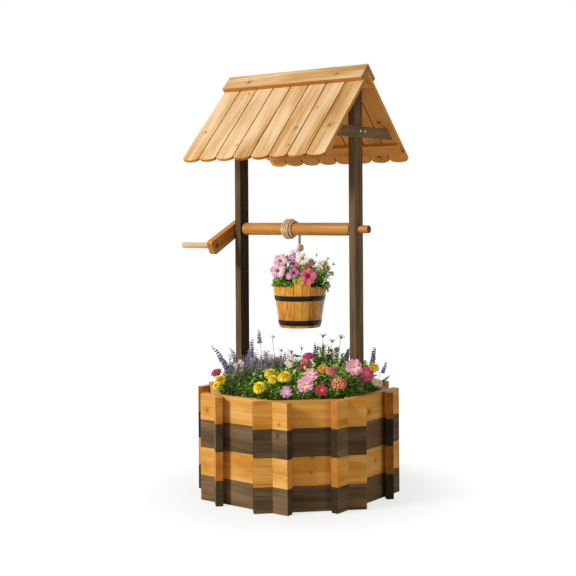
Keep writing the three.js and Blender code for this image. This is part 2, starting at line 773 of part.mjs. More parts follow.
function planterPlanting() {
  const low = soilTop + gap;
  const edge = insideRadius - gap;
  let plants = toSolid(turned([
    [0, low],
    [edge * 0.98, low],
    [edge * 0.98, low + plantHeight * 0.4],
    [edge * 0.82, low + plantHeight * 0.8],
    [edge * 0.45, low + plantHeight],
    [0, low + plantHeight],
  ], 2 * wallCount, wallTurn / 2));
  for (const [count, awayShare, sizeShare] of moundRingShares) {
    for (let lump = 0; lump < count; lump += 1) {
      const angle = ((lump + 0.25) * 2 * Math.PI) / count;
      const away = insideRadius * awayShare;
      const size = insideRadius * sizeShare;
      const centre = [away * Math.cos(angle), away * Math.sin(angle), rimHeight + moundAboveRim];
      plants = plants.add(mound(centre, [size, size, size]));
    }
  }
  for (const [rootShare, tipShare, heightShare] of spikeShares) {
    const spike = [stalkRadius, stalkRadius, spikeRadius, spikeRadius, stalkRadius];
    plants = plants.add(stalk(plantPlace(...rootShare, 0), plantPlace(...tipShare, heightShare), spike));
  }
  for (const [xShare, yShare, heightShare] of daisyShares) {
    const root = plantPlace(xShare * daisyRootShare, yShare * daisyRootShare, 0);
    const tip = plantPlace(xShare, yShare, heightShare);
    plants = plants.add(stalk(root, tip, [stalkRadius, stalkRadius]));
    plants = plants.add(mound(tip.toArray(), [daisyRadius, daisyRadius, daisyRadius / 3]));
  }
  const room = toSolid(prism(octagon(edge), rimHeight + gap - low).translate(0, 0, low));
  const aboveRim = rimHeight + gap / 2;
  const above = toSolid(box([-wellAcross, -wellAcross, aboveRim], [wellAcross, wellAcross, 2 * rimHeight]));
  return plants.intersect(room.add(above)).subtract(standingInSoil(gap, axisHeight));
}

function addPlanting(parent) {
  const soil = toSolid(prism(octagon(insideRadius - gap), soilTop - postFoot).translate(0, 0, postFoot));
  piece('planter_soil', soil.subtract(standingInSoil(gap, rimHeight)), 'soil', parent);
  piece('planter_plants', planterPlanting(), 'leaf', parent);
}

const well = new THREE.Group();
addWalls(well);
addFloor(well);
addPlanting(well);
addPosts(well);
addRoof(well);
addWindlass(well);
addWinding(well);
addFall(well);
addBucket(well);

export default well;
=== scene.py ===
import json
import math
import random
import bpy
import numpy as np
from mathutils import Matrix, Vector


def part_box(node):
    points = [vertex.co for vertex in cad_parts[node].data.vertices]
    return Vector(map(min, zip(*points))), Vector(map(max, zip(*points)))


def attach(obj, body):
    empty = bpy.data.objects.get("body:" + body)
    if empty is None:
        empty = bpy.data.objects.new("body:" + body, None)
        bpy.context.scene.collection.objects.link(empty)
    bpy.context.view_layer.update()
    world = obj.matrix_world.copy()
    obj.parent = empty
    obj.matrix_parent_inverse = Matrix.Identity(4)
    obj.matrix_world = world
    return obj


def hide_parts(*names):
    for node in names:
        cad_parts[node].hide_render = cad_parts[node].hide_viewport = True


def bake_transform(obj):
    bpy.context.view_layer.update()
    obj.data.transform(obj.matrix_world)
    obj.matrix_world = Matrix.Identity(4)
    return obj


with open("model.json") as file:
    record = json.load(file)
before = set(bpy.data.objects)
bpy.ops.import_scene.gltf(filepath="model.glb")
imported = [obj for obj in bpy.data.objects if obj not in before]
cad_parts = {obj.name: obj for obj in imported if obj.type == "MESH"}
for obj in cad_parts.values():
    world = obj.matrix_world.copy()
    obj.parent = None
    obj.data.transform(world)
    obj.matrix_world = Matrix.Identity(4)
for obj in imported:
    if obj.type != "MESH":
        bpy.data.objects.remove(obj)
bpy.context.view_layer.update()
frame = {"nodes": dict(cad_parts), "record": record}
print("stage: CAD frame loaded")

mm = 0.001
fullTurn = 2 * math.pi
goldenTurn = 2.39996
anyTurn = (0, 6.28)
viewRight = (0.799, 0.601)  # the photograph's right, seen from above


def lengths(**values):
    # sizes given in mm
    return {key: tuple(v * mm for v in value) if isinstance(value, tuple) else value * mm
            for key, value in values.items()}


def linear(hexValue):
    # sRGB hex to linear RGBA
    channels = [int(hexValue[i:i + 2], 16) / 255 for i in (0, 2, 4)]
    return tuple(c / 12.92 if c <= 0.04045 else ((c + 0.055) / 1.055) ** 2.4 for c in channels) + (1.0,)


def addNode(tree, kind, inputs=(), output=0, stops=(), **settings):
    # inputs go by name or in their order, and one output comes back; a ramp's first two stops are its ends
    node = tree.nodes.new("ShaderNode" + kind)
    for key, value in settings.items():
        setattr(node, key, value)
    for key, value in inputs.items() if isinstance(inputs, dict) else enumerate(inputs):
        if isinstance(value, bpy.types.NodeSocket):
            tree.links.new(value, node.inputs[key])
        else:
            node.inputs[key].default_value = value
    for i, (position, color) in enumerate(stops):
        elements = node.color_ramp.elements
        stop = elements[i] if i < 2 else elements.new(position)
        stop.position, stop.color = position, color
    return node.outputs[output] if node.outputs else None


def whereSeen(tree):
    # 1 for the rays that show the background, straight or in gloss and glass, and 0 for those that only light
    share, path = 0.0, addNode(tree, "LightPath").node.outputs
    for ray in ("Camera", "Glossy", "Transmission"):
        share = addNode(tree, "Math", (share, path[f"Is {ray} Ray"]), operation="MAXIMUM")
    return share


def newMaterial(name):
    material = bpy.data.materials.new(name)
    material.use_nodes = True
    material.node_tree.nodes.clear()
    return material, material.node_tree


def surface(tree, inputs, relief=None, strength=0.0, distance=0.0):
    if relief:
        inputs["Normal"] = addNode(tree, "Bump", {"Height": relief, "Strength": strength, "Distance": distance})
    addNode(tree, "OutputMaterial", {"Surface": addNode(tree, "BsdfPrincipled", inputs)})


def primitive(addIt, **settings):
    bpy.ops.object.select_all(action="DESELECT")
    addIt(**settings)
    return bpy.context.object


def addPiece(name, data):
    piece = bpy.data.objects.new(name, data)
    bpy.context.collection.objects.link(piece)
    return piece


def selectOnly(piece):
    bpy.ops.object.select_all(action="DESELECT")
    piece.select_set(True)
    bpy.context.view_layer.objects.active = piece


def editAll():
    bpy.ops.object.mode_set(mode="EDIT")
    bpy.ops.mesh.select_all(action="SELECT")


def leaveEdit():
    bpy.ops.object.mode_set(mode="OBJECT")


def applyModifiers(piece):
    selectOnly(piece)
    for modifier in list(piece.modifiers):
        bpy.ops.object.modifier_apply(modifier=modifier.name)


def settle(piece):
    # the place goes into the mesh, so the object stands at the origin
    selectOnly(piece)
    bpy.ops.object.transform_apply(location=True, rotation=True, scale=True)


def bevelEdges(piece, width, segments=2, angle=30):
    bevel = piece.modifiers.new("eased edges", "BEVEL")
    bevel.width, bevel.segments, bevel.limit_method = width, segments, "ANGLE"
    bevel.angle_limit, bevel.harden_normals = math.radians(angle), False
    applyModifiers(piece)


def setMaterial(piece, *materials):
    piece.data.materials.clear()
    for material in materials:
        piece.data.materials.append(material)


def finish(piece, slot, body, *materials, node=None):
    setMaterial(piece, *materials)
    if body:
        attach(piece, body)
    if node:
        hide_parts(node)


# Camera: level, at the photograph's viewing angle
cameraSettings = {"place": (2.5606, -3.3552, 1.0188), "turn": 36.947, "roll": 0.351, "lens": 71.478, "sensor": 36,
                  "shift": (-0.02905, -0.1291), "far": 60}
s = cameraSettings
bpy.ops.object.camera_add(location=s["place"], rotation=[math.radians(a) for a in (90, s["roll"], s["turn"])])
camera = bpy.context.object
camera.name = "camera"
camera.data.lens, camera.data.sensor_width, camera.data.clip_end = s["lens"], s["sensor"], s["far"]
camera.data.shift_x, camera.data.shift_y = s["shift"]
bpy.context.scene.camera = camera
bpy.context.scene.view_settings.view_transform = "Standard"

# Studio light: a large soft key from the front left, a weaker fill from the right, a pale room.
# Each lamp has a place, an aim, a size, a power and a colour.
lamps = {"key": ((-1.85, -4.25, 3.3), (0, 0, 0.7), 1.2, 272, (1, 0.985, 0.96)),
         "fill": ((4.3, -1.2, 0.9), (0, 0, 0.4), 2.0, 40, (1, 0.88, 0.66)),
         "back": ((-0.6, 3.6, 2.8), (0, 0, 0.9), 2.2, 26, (1, 1, 1))}
for name, (place, aim, size, power, color) in lamps.items():
    bpy.ops.object.light_add(type="AREA", location=place)
    light = bpy.context.object
    light.name = name + "_light"
    light.data.energy, light.data.size, light.data.color = power, size, color
    light.rotation_euler = (Vector(aim) - Vector(place)).to_track_quat("-Z", "Y").to_euler()

roomStrength = 0.18
world = bpy.data.worlds.new("white_room")
bpy.context.scene.world = world
world.use_nodes = True
tree = world.node_tree
tree.nodes.clear()
roomLight = addNode(tree, "MapRange", (whereSeen(tree), 0, 1, roomStrength, 1))
addNode(tree, "OutputWorld", {"Surface": addNode(tree, "Background", {"Color": (1, 1, 1, 1), "Strength": roomLight})})

# White studio floor: mostly white to the camera, with a faint shadow kept near the well
floorSettings = {"size": 14, "height": -0.0006, "white": 0.7, "glow": 1.08, "fade": (0.34, 0.85)}
floor = primitive(bpy.ops.mesh.primitive_plane_add, size=floorSettings["size"],
                  location=(0, 0, floorSettings["height"]))
floor.name = "studio_floor"
settle(floor)
floorMaterial, tree = newMaterial("white studio floor")
paint = addNode(tree, "BsdfPrincipled", {"Base Color": linear("d6d4d0"), "Roughness": 0.9})
glow = addNode(tree, "Emission", {"Color": (1, 1, 1, 1), "Strength": floorSettings["glow"]})
fromWell = addNode(tree, "VectorMath", (addNode(tree, "TexCoord", output="Object"),), 1, operation="LENGTH")
whiter = addNode(tree, "MapRange", (fromWell, *floorSettings["fade"], floorSettings["white"], 1),
                 interpolation_type="SMOOTHSTEP")
share = addNode(tree, "Math", (whereSeen(tree), whiter), operation="MULTIPLY")
addNode(tree, "OutputMaterial", {"Surface": addNode(tree, "MixShader", (share, paint, glow))})
setMaterial(floor, floorMaterial)
print("stage: camera, lights and floor")


# Rope: three laid strands on a path
def walkPath(points, spacing):
    lengthsSoFar = [0.0]
    for a, b in zip(points, points[1:]):
        lengthsSoFar.append(lengthsSoFar[-1] + (b - a).length)
    count = max(4, round(lengthsSoFar[-1] / spacing))
    walked, segment = [], 0
    for i in range(count + 1):
        target = lengthsSoFar[-1] * i / count
        while segment < len(points) - 2 and lengthsSoFar[segment + 1] < target:
            segment += 1
        part = (target - lengthsSoFar[segment]) / max(lengthsSoFar[segment + 1] - lengthsSoFar[segment], 1e-9)
        walked.append(points[segment].lerp(points[segment + 1], part))
    return walked, lengthsSoFar[-1]


def smoothPath(points, steps=8):
    # Catmull-Rom through the points
    ends = [2 * points[0] - points[1]] + points + [2 * points[-1] - points[-2]]
    curve = []
    for i in range(1, len(ends) - 2):
        p0, p1, p2, p3 = ends[i - 1:i + 3]
        for step in range(steps):
            t = step / steps
            curve.append(0.5 * (2 * p1 + (p2 - p0) * t + (2 * p0 - 5 * p1 + 4 * p2 - p3) * t * t
                                + (3 * p1 - p0 - 3 * p2 + p3) * t ** 3))
    return curve + [points[-1]]


def curvePiece(name, runs, depth, resolution, caps):
    # a tube along each run of (point, radius share) pairs, made into a mesh
    curve = bpy.data.curves.new(name, "CURVE")
    curve.dimensions = "3D"
    curve.bevel_depth, curve.bevel_resolution, curve.use_fill_caps = depth, resolution, caps
    for run in runs:
        spline = curve.splines.new("POLY")
        spline.points.add(len(run) - 1)
        for at, (point, radius) in zip(spline.points, run):
            at.co, at.radius = (*point, 1), radius
    selectOnly(addPiece(name, curve))
    bpy.ops.object.convert(target="MESH")
    bpy.ops.object.shade_smooth()
    return bpy.context.object


def layRope(name, points, radius, lay):
    path, length = walkPath(points, lay / 9)
    strandRadius = radius * 0.49
    offset = radius - strandRadius
    tangents = [(path[min(i + 1, len(path) - 1)] - path[max(i - 1, 0)]).normalized() for i in range(len(path))]
    normal = tangents[0].orthogonal().normalized()
    sides = []
    for tangent in tangents:
        normal = (normal - tangent * normal.dot(tangent)).normalized()
        sides.append((normal.copy(), tangent.cross(normal)))
    runs = []
    for strand in range(3):
        turns = [strand * fullTurn / 3 + fullTurn * (length * i / (len(path) - 1)) / lay for i in range(len(path))]
        runs.append([(place + (side * math.cos(turn) + up * math.sin(turn)) * offset, 1)
                     for place, turn, (side, up) in zip(path, turns, sides)])
    return curvePiece(name, runs, strandRadius, 2, True)


ropeSettings = {
    **lengths(radius=3.9, lay=25, axisHeight=962.2, fallX=-8, turnPitch=8.45, firstTurnGap=0.5, drumRadius=27.6,
              outerRadius=34.3, wobble=0.5, lean=3.5, tuckBend=5, tuckDepth=7, underStart=-18.5, underPitch=8.1,
              fallRadius=5.2, fallHeights=(962.7, 930, 901), fallBlend=(958, 901), knotRadius=3.6, knotLay=22,
              coilRadius=6.4, coilWave=0.9, coilFoot=883, coilRise=6.2, coreHeights=(906, 892, 876), bailRadius=3.8,
              bailLay=24, bailTop=107.5, stopperOut=4.5, stopperRise=2.2, stopperLoop=3, stopperRadius=2.1,
              stopperLay=16),
    "turns": 5.25, "climb": (0.9, 1.6), "descent": (4.2, 4.9), "lead": (0.0, 0.53), "windingFrom": 0.42,
    "underLean": 0.6,
    # rope's end at the knot, out from the fall, and the bail's way from the ear up, in mm
    "knotEnd": ((9, 2, 902.5), (11, 4.5, 897), (10.5, 6, 889), (9.5, 5, 882)),
    "bail": ((111.7, 0), (102.7, 0), (93.7, 0), (88.7, 0.2), (81.7, 3.5), (74.7, 12), (46, 58), (6, 104)),
}
ear = {"turn": math.radians(-47.4), **lengths(height=767.5, outside=102.7)}
upward = Vector((0, 0, 1))
axisPoint = upward * ropeSettings["axisHeight"]
fallLine = Vector((ropeSettings["fallX"], ropeSettings["drumRadius"], 0))


def smoothStep(value, low, high):
    share = min(max((value - low) / (high - low), 0), 1)
    return share * share * (3 - 2 * share)


def windingPoint(turns):
    s = ropeSettings
    swell = smoothStep(turns, *s["climb"]) - smoothStep(turns, *s["descent"])
    radius = s["drumRadius"] + (s["outerRadius"] - s["drumRadius"]) * swell
    angle = turns * fullTurn
    x = s["fallX"] - turns * s["turnPitch"] - s["firstTurnGap"] * smoothStep(turns, 0, 0.5)
    x += (s["wobble"] * math.sin(turns * 9.0) + s["lean"] * math.sin(angle)) * swell
    return axisPoint + Vector((x, radius * math.cos(angle), radius * math.sin(angle)))


def underPoint(turns):
    # the layer that the outer turns ride over
    s = ropeSettings
    angle = -turns * fullTurn + s["underLean"]
    return axisPoint + Vector((s["underStart"] - turns * s["underPitch"], s["drumRadius"] * math.cos(angle),
                               s["drumRadius"] * math.sin(angle)))


def turnsBetween(start, end):
    count = max(2, round((end - start) * 48))
    return [windingPoint(start + (end - start) * i / count) for i in range(count + 1)]


s = ropeSettings
endTurn = s["turns"] * fullTurn
endOut = Vector((0, math.cos(endTurn), math.sin(endTurn)))
endOn = Vector((0, -math.sin(endTurn), math.cos(endTurn)))
lastPoint = windingPoint(s["turns"])
tuckIn = [lastPoint + endOn * s["tuckBend"] * math.sin(a) - endOut * s["tuckBend"] * (1 - math.cos(a))
          for a in (math.pi / 8, math.pi / 4, 3 * math.pi / 8, math.pi / 2)]
tuckIn.append(tuckIn[-1] - endOut * s["tuckDepth"])
# the rope's end is led round its own part and out to the side
knotPath = []
for i in range(73):
    turn = i / 24
    coil = s["coilRadius"] + s["coilWave"] * math.sin(turn * 5)
    knotPath.append(fallLine + Vector((coil * math.cos(turn * fullTurn + 0.5), coil * math.sin(turn * fullTurn + 0.5),
                                       s["coilFoot"] + turn * s["coilRise"])))
knotPath += smoothPath([knotPath[-1]] + [fallLine + Vector(p) * mm for p in s["knotEnd"]], 5)[1:]
# two legs from the knot to the ears, with a stopper knot outside each
earOut = Vector((math.cos(ear["turn"]), math.sin(ear["turn"]), 0))
earAcross = Vector((-earOut.y, earOut.x, 0))
legs = [[fallLine + earOut * side * out * mm + upward * (ear["height"] + up * mm) for out, up in s["bail"]]
        for side in (-1, 1)]
bailTop = fallLine + upward * (ear["height"] + s["bailTop"])


def stopperLoop(side):
    centre = fallLine + earOut * side * (ear["outside"] + s["stopperOut"]) + upward * ear["height"]
    return [centre + earOut * side * (i / 24 - 1.15) * s["stopperRise"]
            + (earAcross * math.cos(i / 24 * fullTurn) + upward * math.sin(i / 24 * fullTurn)) * s["stopperLoop"]
            for i in range(55)]


# Sisal: pale straw fibres with a dull, hairy surface, with painted shade where the strands meet
sisal, tree = newMaterial("sisal rope")
place = addNode(tree, "TexCoord", output="Object")
fibres = addNode(tree, "TexNoise", {"Vector": place, "Scale": 900.0, "Detail": 3.0, "Roughness": 0.7})
tufts = addNode(tree, "TexNoise", {"Vector": place, "Scale": 60.0, "Detail": 2.0})
blend = addNode(tree, "MapRange", (addNode(tree, "Math", (fibres, tufts), operation="ADD"), 0.7, 1.35, 0, 1))
straw = addNode(tree, "ValToRGB", {"Fac": blend}, stops=((0, linear("c09c64")), (1, linear("fbe8c0"))))
# painted shade: the colour darkens towards dark brown where the strands close in on each other
openness = addNode(tree, "AmbientOcclusion", {"Distance": 0.004}, "AO", samples=8)
paintedGrooveShade = addNode(tree, "MapRange", (openness, 0.2, 0.8, 0.8, 0))
# the colour sockets of the mix node share their names with others, so they go by number
color = addNode(tree, "Mix", {0: paintedGrooveShade, 6: straw, 7: linear("4e3414")}, 2, data_type="RGBA")
surface(tree, {"Base Color": color, "Roughness": 0.92, "Sheen Weight": 0.25}, fibres, 0.6, 0.0006)

# name, path, radius, lay, body, CAD node
ropes = [("rope_turns", turnsBetween(s["windingFrom"], s["turns"]) + tuckIn, s["radius"], s["lay"], "windlass",
          "rope_winding"),
         ("rope_under_turns", [underPoint(i / 40) for i in range(121)], s["radius"] * 0.92, s["lay"], "windlass", None),
         ("rope_lead", turnsBetween(*s["lead"]), s["radius"] * 0.99, s["lay"], "well", None),
         ("rope_fall_strand", [fallLine + upward * z for z in s["fallHeights"]], s["fallRadius"], s["lay"], None,
          "rope_fall"),
         ("rope_knot_strand", knotPath, s["knotRadius"], s["knotLay"], "rope_knot", "rope_knot"),
         ("rope_knot_core", [fallLine + upward * z for z in s["coreHeights"]], s["radius"], s["lay"], "rope_knot",
          None),
         ("rope_bail_strand", smoothPath(legs[0] + [bailTop] + legs[1][::-1]), s["bailRadius"], s["bailLay"], "bail",
          "rope_bail"),
         ("rope_stopper_back", stopperLoop(-1), s["stopperRadius"], s["stopperLay"], "bail", None),
         ("rope_stopper_front", stopperLoop(1), s["stopperRadius"], s["stopperLay"], "bail", None)]
for name, points, radius, lay, body, node in ropes:
    piece = layRope(name, points, radius, lay)
    finish(piece, "rope", body, sisal, node=node)
    if name == "rope_fall_strand":
        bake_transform(piece)
print("stage: rope")


def writeAttribute(piece, name, kind, field, values):
    piece.data.attributes.new(name, kind, "POINT").data.foreach_set(field, values)


# Timber. A piece carries its own wood: grainPlace runs along, across and through the board from the tree's heart,
# knotPlace and otherKnotPlace are measured from a knot in knot radii, and tone makes one board lighter than the next,
# for some walls and roof planks as painted light and shade.
def markGrain(piece, along, across, seed, tone=None, knots=(), heart=None, centre=None, tilt=None):
    dice = random.Random(seed)
    along, across = Vector(along).normalized(), Vector(across).normalized()
    through = along.cross(across)
    corners = [v.co.copy() for v in piece.data.vertices]
    centre = centre or sum(corners, Vector()) / len(corners)
    heart = heart or (dice.uniform(-0.035, 0.035), dice.choice((-1, 1)) * dice.uniform(0.035, 0.1))
    drawn = (dice.uniform(-0.02, 0.02), dice.uniform(-0.05, 0.05))
    tilt = tilt or drawn
    shift = dice.uniform(0, 60)
    tone = dice.uniform(-1, 1) if tone is None else tone
    grains, knotPlaces = [], ([], [])
    for corner in corners:
        away = corner - centre
        x, y, z = away.dot(along), away.dot(across), away.dot(through)
        grains += (x + shift, y + heart[0] + tilt[0] * x, z + heart[1] + tilt[1] * x)
        for i in (0, 1):
            # a board with no knot has it far off
            middle = knots[i] if i < len(knots) else (300, 300, 10)
            knotPlaces[i].extend(((x / mm - middle[0]) / middle[2], (y / mm - middle[1]) / middle[2], 0))
    for name, values in (("grainPlace", grains), ("knotPlace", knotPlaces[0]), ("otherKnotPlace", knotPlaces[1])):
        writeAttribute(piece, name, "FLOAT_VECTOR", "vector", values)
    writeAttribute(piece, "tone", "FLOAT", "value", [tone] * len(corners))


def woodMaterial(name, colors, ring, rings, fibres, streaks, broads, tones, middle, wear, roughness, gloss, bump):
    material, tree = newMaterial(name)
    light, base, dark, worn, knot = (linear(c) for c in colors.split())
    grain, knotPlace, otherKnotPlace = (addNode(tree, "Attribute", output="Vector", attribute_name=a)
                                        for a in ("grainPlace", "knotPlace", "otherKnotPlace"))
    boardTone = addNode(tree, "Attribute", output="Fac", attribute_name="tone")
    # noise drawn out along the grain: its scale along, across and through the board, detail and roughness
    figures = {}
    for figure, scale, detail, fine in (("warp", (1.6, 9, 9), 2.0, 0.5), ("fibre", (7, 260, 260), 3.0, 0.65),
                                        ("streak", (2.2, 60, 60), 2.0, 0.5), ("broad", (3.5, 14, 14), 1.0, 0.5)):
        drawnOut = addNode(tree, "VectorMath", (grain, scale), operation="MULTIPLY")
        figures[figure] = addNode(tree, "TexNoise", {"Vector": drawnOut, "Scale": 1.0, "Detail": detail,
                                                     "Roughness": fine}, 1 if figure == "warp" else 0)
    fromKnots = [addNode(tree, "VectorMath", (p,), 1, operation="LENGTH") for p in (knotPlace, otherKnotPlace)]
    nearest = addNode(tree, "Math", fromKnots, operation="MINIMUM")
    uneven = addNode(tree, "TexNoise", {"Vector": knotPlace, "Scale": 1.1, "Detail": 1.0})
    uneven = addNode(tree, "MapRange", (uneven, 0, 1, -0.35, 0.35))
    knotDistance = addNode(tree, "Math", (nearest, uneven), operation="ADD")
    knotHeart = addNode(tree, "MapRange", (knotDistance, 0.6, 1.15, 1, 0), interpolation_type="SMOOTHSTEP")
    knotHalo = addNode(tree, "MapRange", (knotDistance, 0.8, 5.0, 1, 0), interpolation_type="SMOOTHERSTEP")
    # the rings waver, and bend round a knot
    warped = addNode(tree, "VectorMath", (figures["warp"], (0, 0.016, 0.016), grain), operation="MULTIPLY_ADD")
    section = addNode(tree, "VectorMath", (warped, (0, 1, 1)), operation="MULTIPLY")
    radius = addNode(tree, "VectorMath", (section,), 1, operation="LENGTH")
    bent = addNode(tree, "Math", (knotHalo, 0.011, radius), operation="MULTIPLY_ADD")
    count = addNode(tree, "Math", (bent, ring * mm), operation="DIVIDE")
    # early wood darkens slowly into late wood, then breaks off
    greys = ((0, 0.1), (1, 0.1), (0.45, 0.25), (0.8, 1))
    ringTone = addNode(tree, "ValToRGB", {"Fac": addNode(tree, "Math", (count,), operation="FRACT")},
                       stops=[(at, (grey, grey, grey, 1)) for at, grey in greys])
    factor = addNode(tree, "Math", (ringTone, rings, middle), operation="MULTIPLY_ADD")
    for figure, low, high, strength in ((figures["fibre"], 0.25, 0.75, fibres), (figures["streak"], 0.3, 0.7, streaks),
                                        (figures["broad"], 0.3, 0.7, broads), (boardTone, -1, 1, -tones)):
        darker = addNode(tree, "MapRange", (figure, low, high, -strength, strength))
        factor = addNode(tree, "Math", (factor, darker), operation="ADD")
    factor = addNode(tree, "Math", (knotHalo, 0.22, factor), operation="MULTIPLY_ADD")
    factor = addNode(tree, "Clamp", (factor,))
    color = addNode(tree, "ValToRGB", {"Fac": factor}, stops=((0, light), (1, dark), (0.5, base)))
    # handled edges: the finish is thinner there
    eased, plain = addNode(tree, "Bevel", {"Radius": 0.003}, samples=4), addNode(tree, "NewGeometry", output="Normal")
    bend = addNode(tree, "VectorMath", (eased, plain), 1, operation="DOT_PRODUCT")
    bend = addNode(tree, "MapRange", (bend, 0.995, 0.86, 0, 1))
    patchy = addNode(tree, "MapRange", (figures["broad"], 0.35, 0.65, wear * 0.3, wear))
    edge = addNode(tree, "Math", (bend, patchy), operation="MULTIPLY")
    inKnot = addNode(tree, "Math", (knotHeart, 0.85), operation="MULTIPLY")
    for share, over in ((edge, worn), (inKnot, knot)):
        color = addNode(tree, "Mix", {0: share, 6: color, 7: over}, 2, data_type="RGBA")
    ridges = addNode(tree, "Math", (ringTone, 0.5), operation="MULTIPLY")
    relief = addNode(tree, "Math", (figures["fibre"], 0.6, ridges), operation="MULTIPLY_ADD")
    dullness = addNode(tree, "MapRange", (factor, 0, 1, roughness - 0.06, roughness + 0.06))
    surface(tree, {"Base Color": color, "Specular IOR Level": gloss, "Roughness": dullness}, relief, bump, 0.0007)
    return material


# Colours light, base, dark, edge and knot; ring width in mm; strengths of rings, fibres, streaks, broad figure and the
# board's tone, which can carry painted light and shade; middle of the range; edge wear, roughness, gloss and bump
timberLooks = {
    # planed spruce under honey-brown glaze: satin, with soft wide grain
    "honeySpruce": ("e8b668 ca8830 955614 e6b56c 4d2a10",
                    8.5, 0.13, 0.13, 0.14, 0.24, 0.18, 0.33, 0.4, 0.55, 0.12, 0.2),
    # the same spruce under a dark brown stain, which stays thin on the edges
    "stainedSpruce": ("836a4c 58452f 30261a 826b4c 1d150d",
                      8.5, 0.12, 0.2, 0.14, 0.2, 0.24, 0.34, 0.45, 0.68, 0.12, 0.3),
    # board ends drink more of either finish
    "honeyEndGrain": ("cd8c3e ac6b24 734414 b8813e 4d2a10", 4, 0.3, 0.1, 0.1, 0.2, 0.62, 0.3, 0.3, 0.68, 0.1, 0.3),
    "stainedEndGrain": ("4a3a28 30251a 19130d 57462f 1d150d", 4, 0.3, 0.1, 0.1, 0.2, 0.4, 0.25, 0.4, 0.75, 0.12, 0.3),
    # the left post's right-hand side, darker as painted shade on the side turned from the key lamp
    "paintedShadeStain": ("4a3823 2f2216 1a120b 57432c 1d150d", 8.5, 0.2, 0.18, 0.18, 0.2, 0.2, 0.3, 0.4, 0.7, 0.1, 0.3),
    # the roof's boards are paler, where sun and rain have thinned the glaze
    "paleSpruce": ("e0c196 c79b62 90602e dab987 38200e", 9.5, 0.14, 0.22, 0.2, 0.36, 0.2, 0.28, 0.4, 0.58, 0.16, 0.25),
    # the same glaze, more orange, for the under side and the timbers under the roof: painted warm bounce light in the
    # shade
    "paintedBounceSpruce": ("e49e4c cb8236 844e18 cf9452 3d220d", 9.5, 0.24, 0.16, 0.2, 0.24, 0.3, 0.22, 0.3, 0.6, 0.2, 0.25),
    # turned rounds of the windlass, with close bright rings
    "turnedPine": ("cb9244 aa6c28 744413 dcb070 5d3413", 6.5, 0.4, 0.12, 0.16, 0.14, 0.08, 0.2, 0.3, 0.5, 0.25, 0.2),
    # the handle is left nearly bare
    "barePine": ("dac6a4 c8aa7e 9f7845 e6cfa6 6a4421", 6.5, 0.3, 0.12, 0.14, 0.14, 0.1, 0.2, 0.3, 0.55, 0.2, 0.2),
    # sawn across the grain the same pine drinks more glaze
    "pineEndGrain": ("966024 754616 4d2a0e 8e5a20 3d220d", 3, 0.5, 0.1, 0.1, 0.1, 0.1, 0.25, 0.3, 0.65, 0.15, 0.2),
    # varnished staves of the bucket: glossier, with strong upright figure
    "varnishedStave": ("e8a83e cc8522 7c4a10 dba04a 4a2a0e", 7, 0.3, 0.18, 0.28, 0.12, 0.2, 0.25, 0.2, 0.36, 0.35, 0.2),
}
timber = {name: woodMaterial(name, *look) for name, look in timberLooks.items()}
slotOf = {entry["node"]: entry["material_slot"] for entry in frame["record"]["subparts"]}


def roundedCopy(node, body, material, edge, along, across, seed, endMaterial=None, paintedShadeMaterial=None, **grain):
    # a piece whose edges are eased like planed timber, on the very shape of its node
    piece = addPiece(node + "_timber", frame["nodes"][node].data.copy())
    selectOnly(piece)
    editAll()
    bpy.ops.mesh.remove_doubles(threshold=0.00002)
    bpy.ops.mesh.dissolve_limited(angle_limit=math.radians(1))
    bpy.ops.mesh.customdata_custom_splitnormals_clear()
    leaveEdit()
    bpy.ops.object.shade_flat()
    bevelEdges(piece, edge * mm)
    finish(piece, slotOf[node], body, timber[material], timber[endMaterial or paintedShadeMaterial or material], node=node)
    # where a painted shade material is given, the faces that do not look up take it as painted shade
    for face in piece.data.polygons:
        isEnd = endMaterial and abs(face.normal.dot(Vector(along))) > 0.9
        face.material_index = 1 if isEnd or (paintedShadeMaterial and face.normal.z < 0.1) else 0
    markGrain(piece, along, across, seed, **grain)
    return piece


# Planter walls: edge in mm, the knots that show as (along, across, radius) in mm, and the boards that
# stand out by their tone, partly painted light and shade, or by a cathedral grain
wallSettings = {
    "walls": ["front", "front_right", "right", "back_right", "back", "back_left", "left", "front_left"],
    "edge": 1.6,
    "knots": {"front_board_4": [(-164, 4, 3.4), (161, -12, 3)], "right_board_4": [(-2, 3, 5), (134, 8, 4)],
              "right_board_2": [(37, 21, 4)], "front_right_board_2": [(5, 31, 2.6), (1, -20, 2.4)],
              "front_board_3": [(155, 46, 4)], "front_left_board_2": [(40, -6, 4)], "back_board_4": [(60, 10, 5)],
              "left_board_4": [(-50, -8, 5)], "back_left_board_2": [(20, 12, 4)]},
    # from the lowest course to the highest; the front_right and back_right walls are set darker and the right wall
    # lighter as painted shade and light for the way each wall faces the lamps
    "tones": {"front": (0.9, 0.8, 0.1, 0.35), "front_right": (-0.3, -0.35, -0.9, -0.3), "right": (0.2, 0.3, 0, 0.2),
              "front_left": (None, None, None, 0.2), "back_right": (-0.9, -0.6, -0.9, -0.8)},
    "cathedrals": {"front_board_2": ((0.004, -0.016), (0.02, 0.11)),
                   "front_right_board_4": ((-0.02, -0.03), (0.03, 0.05))},
}
for wall, wallName in enumerate(wallSettings["walls"]):
    turn = math.radians(45 * wall)
    for course in (1, 2, 3, 4):
        node = f"{wallName}_board_{course}"
        heart, tilt = wallSettings["cathedrals"].get(node, (None, None))
        finishName = "stained" if course % 2 else "honey"
        roundedCopy(node, "well", finishName + "Spruce", wallSettings["edge"], (math.cos(turn), math.sin(turn), 0),
                    upward, 100 + wall * 10 + course, finishName + "EndGrain",
                    knots=wallSettings["knots"].get(node, ()),
                    tone=wallSettings["tones"].get(wallName, (None,) * 4)[course - 1], heart=heart, tilt=tilt)
print("stage: planter walls")

